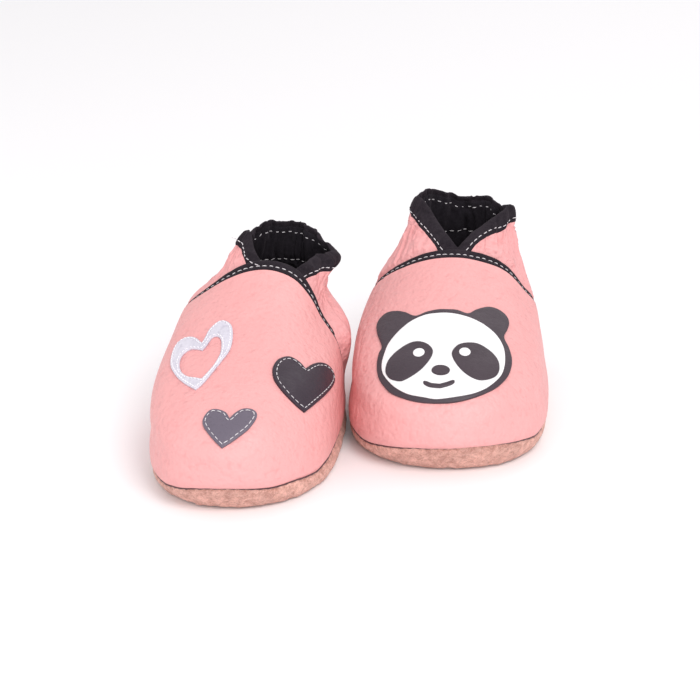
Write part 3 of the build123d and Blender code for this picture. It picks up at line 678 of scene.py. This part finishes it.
def build_common(name):
    s = SHOES[name]
    w = s["width"]
    N = 1 if name == "panda" else 2
    # ---------------- vamp
    zr, te = edge_levels(name, res(230), SEAM_Z + 0.05)
    cols = res(330)
    v = np.linspace(-1, 1, cols)
    te2 = te[:, None]
    th = math.pi + v[None] * (math.pi - te2)
    zz = np.repeat(zr[:, None], cols, 1)
    o, n = base(name, zz, th, roll(zz))
    i, _ = base(name, zz, th, roll(zz) + 1.15)
    # close: rings run along the edge curve direction (rows), each ring = one row across, over and under
    rings = sheet_rings(o, i, 0.3)
    ob = add_mesh(name, "vamp", [(rings, True)], M["pink_leather"])
    # base for the appliques
    V = o.reshape(-1, 3)
    F = open_grid(len(zr), cols)
    tri = np.concatenate([F[:, [0, 1, 2]], F[:, [0, 2, 3]]])
    CAV[name] = BVHTree.FromPolygons([tuple(x) for x in V], [tuple(int(k) for k in t) for t in tri])
    # ---------------- vamp lining
    zr2, te3 = edge_levels(name, res(90), SEAM_Z + 0.4, -0.6)
    th = math.pi + np.linspace(-1, 1, res(140))[None] * (math.pi - te3[:, None])
    zz = np.repeat(zr2[:, None], th.shape[1], 1)
    o, n = base(name, zz, th, 1.25 + roll(zz))
    i, _ = base(name, zz, th, 1.7 + roll(zz))
    add_mesh(name, "vamp_lining", [(sheet_rings(o, i), True)], M["black_suede"])
    # ---------------- the black band beyond the vamp's edge, and its stitches
    ze, tse = edge_curve(name, res(420))
    P, Nn = base(name, ze, tse, 0.0)
    PN, L = even(np.concatenate([P, Nn], 1), res(420))
    P, Nn = PN[:, :3], norm(PN[:, 3:])
    T = norm(np.gradient(P, axis=0))
    B = norm(np.cross(Nn, T))
    if (B[len(B) // 2] @ np.array([0, 1.0, 0.3])) < 0:
        B = -B
    wid = BAND[name]["width"]
    t = np.linspace(-1.2, wid, 15)
    arc = np.linspace(0, 1, len(P))
    # the band follows the surface behind the edge, a little lower than the vamp
    prof = np.where(t < 0.1, -0.95, 0.0) * 1.0
    valley = -0.30 * gauss(t - wid * 0.50, 0.42)
    hump = 0.18 * gauss(t - wid * 0.2, 0.5) + 0.16 * gauss(t - wid * 0.82, 0.5)
    drop = -0.55 * (np.clip(t, 0, None) / wid) ** 2
    hgt = -0.25 + prof + valley + hump + drop
    o = P[:, None] + B[:, None] * t[None, :, None] + Nn[:, None] * hgt[None, :, None]
    o = o + Nn[:, None] * (0.10 * lattice(arc * 60, arc * 0 + 0.5, 40 + N))[:, None, None]
    i = o - Nn[:, None] * 1.0
    add_mesh(name, "vamp_binding", [(sheet_rings(o, i, 0.5), True)], M["black_binding"])
    k = int(np.argmin(np.abs(t - wid * 0.50)))
    run = o[:, k] + Nn * 0.10
    add_mesh(name, "vamp_stitching", capsules(run[3:-3], Nn[3:-3], 1.75, 2.5, 0.18, 1.2, 100 + N), M["white_thread"])
    # ---------------- quarter
    pink, top = collar_lines(name)
    nt = res(620)
    tq = np.linspace(-math.pi, math.pi, nt, endpoint=False)
    zt = line_at(pink, tq)
    zl = np.full(nt, SEAM_Z + 0.05)
    zs = np.linspace(SEAM_Z, 62, 500)
    thz = edge_th(name, zs, -8.0)
    for j, a in enumerate(np.abs(tq)):
        # lowest height on this angle that is still behind the tuck line
        inside = np.nan_to_num(thz, nan=math.pi + 1) >= a
        k = int(np.argmax(inside))
        zl[j] = max(SEAM_Z + 0.05, zs[k])
    zl = np.minimum(zl, zt - 3.0)
    kk = gauss(np.arange(-6, 7), 2.5)
    zl = np.convolve(np.concatenate([zl[-6:], zl, zl[:6]]), kk / kk.sum(), "valid")
    u = np.linspace(0, 1, res(150))
    zz = zl[:, None] * (1 - u) + zt[:, None] * u
    tt = np.repeat(tq[:, None], len(u), 1)
    o, n = quarter_pt(name, zz, tt, roll(zz))
    i, _ = quarter_pt(name, zz, tt, roll(zz) + 1.0)
    add_mesh(name, "quarter", [(sheet_rings(o, i, 0.35), False)], M["pink_quarter"])
    # ---------------- collar band
    zb = line_at(top, tq)
    u = np.linspace(0, 1, 14)
    lo = zt - 0.7
    zz = lo[:, None] * (1 - u) + zb[:, None] * u
    tt = np.repeat(tq[:, None], len(u), 1)
    extra = -0.55 * np.clip(1 - (u - 0.0) / 0.12, 0, 1) + 0.35 * np.sin(np.clip(u, 0, 1) * math.pi)
    o, n = quarter_pt(name, zz, tt, -0.25)
    lean = -0.9 * u ** 2
    o = o + n * (extra + lean)[None, :, None]
    i = o - n * (1.55 + 0.3 * np.sin(u * math.pi))[None, :, None]
    add_mesh(name, "collar_binding", [(sheet_rings(o, i, 0.55), False)], M["black_binding"])
    # collar stitching: on the band just inside the pink edge along the V, and inside the collar round the back
    vee = np.linspace(186, 255, 110) * DEG
    st = []
    for a0, a1 in ((96, 171.5), (-171.5, -96)):
        a = np.linspace(a0, a1, 150) * DEG
        z = line_at(pink, a) + 1.0
        q, m = quarter_pt(name, z, a, -0.25)
        q = q + m * 0.42
        st += capsules(q, m, 1.75, 2.5, 0.17, 1.2, 200 + N + int(a0))
    a = np.linspace(-98, 98, 260) * DEG
    z = line_at(top, a) - 3.6
    q, m = quarter_pt(name, z, a, 0.0)
    q = q - m * 2.32
    st += capsules(q, -m, 2.0, 2.9, 0.19, 1.3, 300 + N)
    add_mesh(name, "collar_stitching", st, M["white_thread"])
    # ---------------- quarter lining, visible inside the collar
    tq2 = np.linspace(-math.pi, math.pi, res(300), endpoint=False)
    z1 = line_at(top, tq2) - 1.6
    z0 = np.interp(wrap(tq2), wrap(tq), np.maximum(zl, SEAM_Z + 0.4))
    u = np.linspace(0, 1, res(90))
    zz = z0[:, None] * (1 - u) + z1[:, None] * u
    tt = np.repeat(tq2[:, None], len(u), 1)
    o, n = quarter_pt(name, zz, tt, 1.95 + 0.0 * zz)
    chan = 0.30 * gauss(zz - 53.0, 0.7)
    o = o + n * chan[..., None]
    i = o - n * 0.5
    add_mesh(name, "quarter_lining", [(sheet_rings(o, i, 0.3), False)], M["black_suede"])
    a = np.linspace(-112, 112, 240) * DEG
    q, m = quarter_pt(name, np.full_like(a, 53.2), a, 2.62 - 0.3)
    add_mesh(name, "channel_stitching", capsules(q, -m, 1.7, 2.9, 0.16, 1.4, 400 + N), M["white_thread"])
    # ---------------- elastic in its channel
    te4 = np.linspace(-100, 100, res(260)) * DEG
    u = np.linspace(0, 1, 10)
    zz = np.repeat((54.2 + 6.4 * u)[None], len(te4), 0)
    tt = np.repeat(te4[:, None], len(u), 1)
    o, n = quarter_pt(name, zz, tt, 1.25)
    i = o - n * 0.4
    add_mesh(name, "elastic_band", [(sheet_rings(o, i, 0.3), True)], M["elastic"])
    # ---------------- insole, foam
    for node, z0, z1, d, mat in (("insole", 4.9, 6.0, 2.0, "black_suede"), ("foam_pad", 1.9, 4.7, 2.2, "foam")):
        tt = np.linspace(-math.pi, math.pi, res(200), endpoint=False)
        rr = []
        for z, f in [(z0, 0.02), (z0, 0.5), (z0, 0.93), (z0, 0.985), ((z0 + z1) / 2, 1.0), (z1, 0.985), (z1, 0.93)] + [(z1, f) for f in (0.8, 0.6, 0.4, 0.2, 0.02)]:
            p, n = base(name, np.full_like(tt, z), tt, d)
            c = np.array([0.0, -2.0])
            p[:, :2] = c + (p[:, :2] - c) * f
            p[:, 2] = z + (0.12 * lattice(p[:, 0] / 9 + 20, p[:, 1] / 9 + 20, 7) if z == z1 else 0)
            rr.append(p)
        ob = add_mesh(name, node, [(np.stack(rr), True)], M[mat])
    # ---------------- outsole
    tt = np.linspace(-math.pi, math.pi, res(560), endpoint=False)
    c = np.array([0.0, -2.0])
    rr = []
    seed = 130 + N
    un = tt / (2 * math.pi)
    rough1 = lattice(un * 150 + 150, un * 0, seed, 150)
    rough2 = lattice(un * 70 + 70, un * 0 + 4, seed, 70)

    def rim(z, d, f=1.0, flat=False):
        p, n = base(name, np.full_like(tt, z), tt, d + 0.12 * rough1 * sstep(8, 2, z) + 0.25 * rough2 * sstep(7, 0.5, z))
        p[:, :2] = c + (p[:, :2] - c) * f
        if flat:
            p[:, 2] = z
        return p
    for f in (0.02, 0.3, 0.6, 0.8, 0.9, 0.95):
        rr.append(rim(0.0, 1.2, f, True))
    rr.append(rim(0.02, 1.0, 0.985, True))
    for z, d in ((0.15, 0.62), (0.45, 0.28), (0.9, 0.10), (1.5, 0.0), (2.2, 0.0), (3.0, 0.02), (3.8, 0.03), (4.8, 0.04), (5.8, 0.06), (6.8, 0.12), (7.6, 0.26), (8.2, 0.55), (8.6, 0.95)):
        rr.append(rim(z, d))
    rr.append(rim(8.7, 1.4))
    rr.append(rim(8.4, 1.75))
    rr.append(rim(4.5, 1.9))
    rr.append(rim(1.9, 2.0, 1.0, True))
    for f in (0.9, 0.6, 0.3, 0.02):
        rr.append(rim(1.7, 2.0, f, True))
    R = np.stack(rr)
    R[..., 2] = np.maximum(R[..., 2], 0.0)
    add_mesh(name, "outsole", [(R, True)], M["sole_suede"])
    # ---------------- seam thread in the groove
    tt = np.linspace(-math.pi, math.pi, res(500), endpoint=False)
    p, n = base(name, np.full_like(tt, SEAM_Z - 0.12), tt, 0.95)
    a = np.linspace(0, 2 * math.pi, 8, endpoint=False)
    beat = 0.30 + 0.07 * np.sin(tt * 70)
    ring = p[:, None] + n[:, None] * (np.cos(a)[None, :, None] * beat[:, None, None]) + np.array([0, 0, 1.0]) * (np.sin(a)[None, :, None] * beat[:, None, None])
    add_mesh(name, "sole_seam_thread", [(ring, False)], M["seam_thread"])


BAND = {"panda": dict(width=4.8), "hearts": dict(width=4.7)}
for shoe in SHOES:
    build_common(shoe)

# ------------------------------------------------------------------ appliqués
FACE_AT, FACE_N = (-0.55, -28.96, 37.03), (0.0, -0.3785, 0.9256)
BACKING = [(-22.6, -2.1), (-25.0, 6.7), (-25.8, 12.9), (-24.8, 16.8), (-22.4, 18.9), (-18.7, 18.4), (-15.2, 16.4), (-11.4, 13.5), (-7.5, 15.3), (-3.3, 16.5), (-0.0, 16.6), (3.6, 16.5), (7.6, 15.2), (10.3, 18.0), (13.1, 20.4), (15.2, 21.6), (18.0, 21.7), (21.0, 20.1), (22.6, 16.9), (22.5, 12.4), (21.4, 6.2), (23.4, 0.4), (24.7, -5.4), (24.6, -10.9), (23.4, -16.1), (20.5, -21.6), (16.6, -25.8), (11.6, -29.3), (5.6, -31.6), (-1.3, -32.3), (-7.6, -31.7), (-12.9, -29.7), (-17.3, -26.8), (-20.5, -22.4), (-22.5, -17.7), (-23.4, -12.0), (-23.3, -6.2)]
FACE = [(-21.3, -13.3), (-21.0, -8.2), (-19.8, -1.5), (-17.0, 4.4), (-13.1, 9.4), (-8.0, 12.7), (-3.0, 13.7), (0.9, 13.8), (4.8, 13.2), (9.5, 11.8), (14.2, 9.3), (18.4, 5.3), (21.1, -0.2), (22.1, -6.2), (22.0, -12.3), (20.8, -17.3), (17.6, -22.7), (13.8, -26.4), (8.8, -28.9), (0.3, -30.9), (-4.8, -30.4), (-10.8, -28.8), (-15.5, -25.4), (-18.7, -21.3), (-20.6, -17.5)]
EYE_LEFT = [(-19.5, -16.4), (-19.0, -12.5), (-17.3, -9.1), (-14.4, -5.6), (-11.4, -3.4), (-8.6, -3.1), (-5.6, -4.7), (-3.7, -7.5), (-3.5, -10.3), (-4.6, -14.1), (-6.8, -18.2), (-9.3, -21.0), (-12.2, -23.1), (-14.2, -23.4), (-17.1, -21.9), (-18.9, -19.4)]
EYE_RIGHT = [(3.4, -9.4), (4.1, -6.6), (5.9, -4.1), (9.2, -2.7), (12.4, -2.7), (15.6, -4.6), (18.2, -7.2), (19.9, -10.5), (20.3, -14.5), (19.4, -17.8), (17.1, -20.3), (14.1, -21.7), (11.4, -21.2), (8.6, -19.3), (6.0, -16.1), (4.2, -12.6)]
NOSE = [(3.3, -18.5), (3.1, -19.4), (2.5, -20.3), (1.4, -20.9), (0.2, -21.1), (-1.0, -21.0), (-2.1, -20.5), (-2.9, -19.8), (-3.2, -18.8), (-3.0, -17.9), (-2.4, -17.0), (-1.4, -16.4), (-0.1, -16.2), (1.1, -16.3), (2.2, -16.8), (3.0, -17.6)]
MOUTH = [(-5.6, -24.4), (-4.2, -25.3), (-2.7, -25.9), (0.0, -26.1), (1.4, -25.7), (2.7, -25.2), (4.1, -24.4), (5.2, -23.5)]
WHITE_OUTER = [(-3.5, 2.8), (-9.1, 3.4), (-12.9, 1.6), (-13.7, -2.0), (-10.4, -6.9), (-4.5, -11.5), (3.0, -14.4), (9.6, -15.5), (16.0, -15.5), (15.5, -11.8), (13.7, -6.6), (11.1, -0.1), (8.6, 5.7), (4.2, 10.8), (-1.4, 15.1), (-5.7, 15.8), (-7.9, 14.1), (-7.4, 9.6), (-5.0, 5.5)]
WHITE_INNER = [(-0.0, 0.1), (-2.4, -0.6), (-4.9, -2.1), (-5.1, -5.4), (-2.5, -8.8), (2.4, -11.7), (7.0, -12.4), (11.1, -11.1), (13.2, -10.6), (11.9, -6.2), (10.4, -2.4), (7.2, 2.8), (2.6, 7.0), (-0.8, 8.4), (-2.5, 6.9), (-0.6, 2.5)]
DARK = [(3.2, 1.6), (3.9, 4.5), (2.9, 7.9), (0.5, 9.6), (-3.6, 10.2), (-8.1, 9.0), (-12.1, 6.1), (-14.4, 2.6), (-15.8, -1.8), (-15.7, -6.4), (-14.3, -10.1), (-6.0, -10.1), (6.2, -9.6), (16.2, -8.1), (19.1, -5.2), (17.1, -1.9), (12.8, 0.4), (8.2, 1.4)]
GREY = [(0.4, 0.9), (-1.1, 3.8), (-4.0, 5.4), (-6.5, 5.1), (-8.4, 2.2), (-8.7, -0.9), (-7.0, -4.5), (-4.5, -7.9), (-2.1, -10.4), (1.5, -8.1), (6.3, -3.8), (9.1, 0.8), (9.5, 3.5), (7.9, 5.1), (5.0, 5.2), (2.6, 3.6)]
GLINTS = [(-8.3, -9.8, 2.1), (7.9, -8.6, 2.05)]
WHITE_AT, WHITE_N = (-12.65, -17.53, 41.86), (-0.2505, -0.2896, 0.9238)
DARK_AT, DARK_N = (23.4, -17.9, 34.83), (0.6533, -0.1742, 0.7368)
GREY_AT, GREY_N = (4.98, -52.66, 31.1), (0.1037, -0.5004, 0.8596)


def spline_loop(pts, count, corners=()):
    """Dense closed curve through points; sharp at the corners."""
    pts = np.asarray(pts, float)
    n = len(pts)
    out = []
    cut = sorted(corners) if corners else [0]
    for a, b in zip(cut, cut[1:] + [cut[0] + n]):
        idx = [k % n for k in range(a, b + 1)]
        run = pts[idx]
        if corners:
            ext = np.concatenate([[2 * run[0] - run[1]], run, [2 * run[-1] - run[-2]]])
        else:
            ext = np.concatenate([[run[-2]], run, [run[1]]])
        seg = []
        for i in range(1, len(ext) - 2):
            p0, p1, p2, p3 = ext[i - 1], ext[i], ext[i + 1], ext[i + 2]
            t = np.linspace(0, 1, 24, endpoint=False)[:, None]
            seg.append(0.5 * ((2 * p1) + (-p0 + p2) * t + (2 * p0 - 5 * p1 + 4 * p2 - p3) * t**2 + (-p0 + 3 * p1 - 3 * p2 + p3) * t**3))
        seg.append(ext[-2][None])
        q, L = even(np.concatenate(seg), max(8, int(count * len(run) / (n + len(cut)))))
        out.append(q[:-1])
    return np.concatenate(out)


def on_vamp(name, at, n, uv):
    """Plane coordinates to points on the vamp's outer face, with normals."""
    nn = np.array(n) / np.linalg.norm(n)
    x = np.cross([0, 0, 1.0], nn) if abs(nn[0]) > 1e-6 else np.array([1.0, 0, 0])
    x = x / np.linalg.norm(x)
    y = np.cross(nn, x)
    g = np.array(at) + uv[..., :1] * x + uv[..., 1:2] * y
    flat = g.reshape(-1, 3)
    P = np.zeros_like(flat)
    Q = np.zeros_like(flat)
    tree = CAV[name]
    d = Vector(-nn)

    def hit(pt):
        h = tree.ray_cast(Vector(pt + nn * 25), d)
        if h[0] is None:
            h = tree.find_nearest(Vector(pt))
        return np.array(h[0])
    e = 0.6
    for k, pt in enumerate(flat):
        P[k] = hit(pt)
        a = hit(pt + x * e) - hit(pt - x * e)
        b = hit(pt + y * e) - hit(pt - y * e)
        m = np.cross(a, b)
        Q[k] = m / np.linalg.norm(m)
    return P.reshape(g.shape), Q.reshape(g.shape)


def disc(name, node, at, n, loop, lo, hi, mat, centre=None, edge=0.22, hole=None, puff=0.0, rings=16):
    """A cut leather piece laid on the vamp: from height lo to hi above it, softly rounded at its cut edge."""
    c = loop.mean(0) if centre is None else np.array(centre)
    if hole is None:
        fr = np.concatenate([[0.01], np.linspace(0.12, 0.93, rings), [0.97, 0.99]])
        lay = [c + (loop - c) * f for f in fr]
        hs = [hi + puff * (1 - f**2) for f in fr]
    else:
        fr = np.linspace(0, 1, rings)
        lay = [hole * (1 - f) + loop * f for f in np.concatenate([[0.02, 0.05], np.linspace(0.12, 0.88, rings), [0.95, 0.98]])]
        hs = [hi - edge * 0.4, hi - edge * 0.1] + [hi + puff] * rings + [hi - edge * 0.1, hi - edge * 0.4]
    out_dir = norm(np.roll(loop, -1, 0) - np.roll(loop, 1, 0))
    out_dir = np.stack([out_dir[:, 1], -out_dir[:, 0]], -1)
    if ((loop - c) * out_dir).sum() < 0:
        out_dir = -out_dir
    if hole is None:
        lay[-2] = loop - out_dir * edge * 0.9
        lay[-1] = loop - out_dir * edge * 0.35
        hs[-1] = hi - edge * 0.25
    lay.append(loop + 0)
    hs.append(hi - edge * 0.8)
    lay.append(loop + out_dir * 0.03)
    hs.append(lo)
    if hole is None:
        lay.append(c + (loop - c) * 0.5)
        hs.append(lo)
        lay.append(c + (loop - c) * 0.01)
        hs.append(lo)
    else:
        lay.append(hole + 0)
        hs.append(lo)
        lay.append(hole + 0)
        hs.append(hi - edge * 0.8)
    uv = np.stack(lay)
    P, Q = on_vamp(name, at, n, uv)
    H = np.array(hs)[:, None, None]
    ring = P + Q * H
    if hole is None:
        return add_mesh(name, node, [(ring, True)], mat)
    # torus-like: close the ring list on itself
    k = ring.shape[1]
    return add_mesh(name, node, [(np.swapaxes(ring, 0, 1), False)], mat)


def inset(loop, d):
    t = norm(np.roll(loop, -2, 0) - np.roll(loop, 2, 0))
    o = np.stack([t[:, 1], -t[:, 0]], -1)
    if ((loop - loop.mean(0)) * o).sum() < 0:
        o = -o
    q = loop - o * d
    # drop points that came closer to the outline than d
    keep = np.array([np.min(np.linalg.norm(loop - p, axis=1)) > d * 0.93 for p in q])
    return q[keep]


def loop_stitch(name, node, at, n, loop, d, h, seed, mat="white_thread", rad=0.15, length=1.7, pitch=2.3):
    q = inset(loop, d)
    q = np.concatenate([q, q[:1]])
    P, Q = on_vamp(name, at, n, q)
    return add_mesh(name, node, capsules(P + Q * h, Q, length, pitch, rad, 1.0, seed), M[mat])


loops = {
    "BACKING": spline_loop(BACKING, res(420)),
    "FACE": spline_loop(FACE, res(360)),
    "EYE_LEFT": spline_loop(EYE_LEFT, res(200)),
    "EYE_RIGHT": spline_loop(EYE_RIGHT, res(200)),
    "NOSE": spline_loop(NOSE, res(120)),
}
disc("panda", "face_backing", FACE_AT, FACE_N, loops["BACKING"], -0.1, 0.85, M["charcoal_leather"], centre=(0, -6), rings=26, edge=0.3)
disc("panda", "face", FACE_AT, FACE_N, loops["FACE"], 0.75, 1.35, M["white_leather"], centre=(0, -8), rings=22)
disc("panda", "eye_patch_left", FACE_AT, FACE_N, loops["EYE_LEFT"], 1.25, 1.8, M["charcoal_leather"], rings=12)
disc("panda", "eye_patch_right", FACE_AT, FACE_N, loops["EYE_RIGHT"], 1.25, 1.8, M["charcoal_leather"], rings=12)
disc("panda", "nose", FACE_AT, FACE_N, loops["NOSE"], 1.25, 1.8, M["charcoal_leather"], rings=8)
gl = []
for cx, cy, r in GLINTS:
    a = np.linspace(0, 2 * math.pi, 40, endpoint=False)
    lp = np.stack([cx + 0.97 * r * np.cos(a), cy + r * 1.1 * np.sin(a)], -1)
    uv = np.stack([lp.mean(0) + (lp - lp.mean(0)) * f for f in (0.02, 0.3, 0.6, 0.85, 0.95, 1.0, 1.0, 0.5, 0.02)])
    hs = np.array([2.12, 2.12, 2.11, 2.09, 2.05, 1.96, 1.75, 1.75, 1.75])
    P, Q = on_vamp("panda", FACE_AT, FACE_N, uv)
    gl.append((P + Q * hs[:, None, None], True))
add_mesh("panda", "eye_glints", gl, M["white_leather"])
mc, _ = even(spline_loop(MOUTH, 400, corners=(0, len(MOUTH) - 1))[:330], 70)
mo = np.array(MOUTH, float)
tt = np.linspace(0, 1, len(mo))
fine = np.stack([pchip(tt, mo[:, k], np.linspace(0, 1, 60)) for k in (0, 1)], -1)
fine, L = even(fine, 60)
tn = norm(np.gradient(fine, axis=0))
sd = np.stack([-tn[:, 1], tn[:, 0]], -1)
wd = 0.92 * np.sqrt(np.clip(1 - np.abs(np.linspace(-1, 1, 60)) ** 8, 0.02, 1))
sec = [(-1, 1.25), (-1, 1.62), (-0.85, 1.76), (-0.4, 1.84), (0, 1.85), (0.4, 1.84), (0.85, 1.76), (1, 1.62), (1, 1.25)]
uv = np.stack([fine + sd * (wd * k)[:, None] for k, _ in sec], 1)
P, Q = on_vamp("panda", FACE_AT, FACE_N, uv)
add_mesh("panda", "mouth", [(P + Q * np.array([h for _, h in sec])[None, :, None], True)], M["charcoal_leather"])

dark_loop = spline_loop(DARK, res(260), corners=(0, 10))
grey_loop = spline_loop(GREY, res(220), corners=(0, 8))
disc("hearts", "dark_heart", DARK_AT, DARK_N, dark_loop, -0.1, 0.85, M["dark_leather"], rings=18)
disc("hearts", "grey_heart", GREY_AT, GREY_N, grey_loop, -0.1, 0.85, M["grey_leather"], rings=14)
loop_stitch("hearts", "dark_heart_stitching", DARK_AT, DARK_N, dark_loop, 1.25, 0.93, 501)
loop_stitch("hearts", "grey_heart_stitching", GREY_AT, GREY_N, grey_loop, 1.0, 0.93, 502)
wo = spline_loop(WHITE_OUTER, res(320), corners=(0, 8))
wi = spline_loop(WHITE_INNER, res(320), corners=(0, 8))
m = min(len(wo), len(wi))


def match(outer, inner, c):
    """Inner loop resampled so that its points face the outer loop's."""
    ao = np.unwrap(np.arctan2(outer[:, 1] - c[1], outer[:, 0] - c[0]))
    ai = np.unwrap(np.arctan2(inner[:, 1] - c[1], inner[:, 0] - c[0]))
    if (ao[-1] - ao[0]) * (ai[-1] - ai[0]) < 0:
        inner = inner[::-1]
        ai = np.unwrap(np.arctan2(inner[:, 1] - c[1], inner[:, 0] - c[0]))
    so = np.linspace(0, 1, len(outer), endpoint=False)
    si = np.linspace(0, 1, len(inner), endpoint=False)
    return np.stack([np.interp(so, np.append(si, 1), np.append(inner[:, k], inner[0, k])) for k in (0, 1)], -1)


wi2 = match(wo, wi, wi.mean(0))
disc("hearts", "open_white_heart", WHITE_AT, WHITE_N, wo, -0.1, 0.8, M["silver_leather"], hole=wi2, rings=10)

rim = []
for lp, dd, sd_ in ((wo, 0.75, 601), (wi2, -0.7, 602)):
    q = inset(lp, dd) if dd > 0 else inset(lp, dd)
    q = np.concatenate([q, q[:1]])
    P, Q = on_vamp("hearts", WHITE_AT, WHITE_N, q)
    rim += capsules(P + Q * 0.84, Q, 1.25, 1.5, 0.24, 1.0, sd_, flat=0.6)
ob = add_mesh("hearts", "open_white_heart", rim, M["rim_thread"])
ob.name = "hearts_open_white_heart_rim"

# ------------------------------------------------------------------ floor, light, camera
floor_me = bpy.data.meshes.new("floor")
floor_me.from_pydata([(-3, -3, -0.0002), (3, -3, -0.0002), (3, 3, -0.0002), (-3, 3, -0.0002)], [], [(0, 1, 2, 3)])
floor = bpy.data.objects.new("floor", floor_me)
bpy.context.scene.collection.objects.link(floor)
fm = bpy.data.materials.new("floor")
nt, bs = nodes_of(fm)
bs.inputs["Base Color"].default_value = (0.96, 0.95, 0.96, 1)
bs.inputs["Roughness"].default_value = 0.85
bs.inputs["Specular IOR Level"].default_value = 0.1
floor_me.materials.append(fm)

world = bpy.data.worlds.new("soft") if not bpy.context.scene.world else bpy.context.scene.world
bpy.context.scene.world = world
world.use_nodes = True
bg = world.node_tree.nodes.get("Background") or world.node_tree.nodes.new("ShaderNodeBackground")
bg.inputs[0].default_value = (1.0, 0.99, 1.0, 1)
bg.inputs[1].default_value = 0.80


def area(name, loc, target, size, power, color=(1, 1, 1)):
    li = bpy.data.lights.new(name, "AREA")
    li.shape = "DISK"
    li.size = size
    li.energy = power
    li.color = color
    ob = bpy.data.objects.new(name, li)
    ob.location = loc
    ob.rotation_euler = (Vector(target) - Vector(loc)).to_track_quat("-Z", "Y").to_euler()
    bpy.context.scene.collection.objects.link(ob)
    return ob


area("key", (0.30, -0.60, 0.85), (0, 0, 0.02), 0.50, 4.5, (1, 0.99, 0.98))
area("front", (0.15, -1.00, 0.30), (0, 0, 0.03), 0.50, 1.9)
area("left_fill", (-0.95, -0.35, 0.35), (0, 0, 0.03), 0.60, 1.3)
area("back", (0.4, 0.9, 0.8), (0, 0, 0.04), 0.7, 1.2)

cam_d = bpy.data.cameras.new("view")
cam = bpy.data.objects.new("view", cam_d)
bpy.context.scene.collection.objects.link(cam)
D, EL, F = 0.81079, 21.9082 * DEG, 2162.87
tgt = Vector((-0.002095, 0.007584, 0.027839))
cam.location = tgt + Vector((0, -math.cos(EL), math.sin(EL))) * D
cam.rotation_euler = (tgt - cam.location).to_track_quat("-Z", "Y").to_euler()
cam_d.sensor_width = 36
cam_d.lens = F / 700 * 36
cam_d.clip_start = 0.01
bpy.context.scene.camera = cam
vs = bpy.context.scene.view_settings
vs.view_transform = "Standard"
vs.look = "None"
vs.exposure = 0.0

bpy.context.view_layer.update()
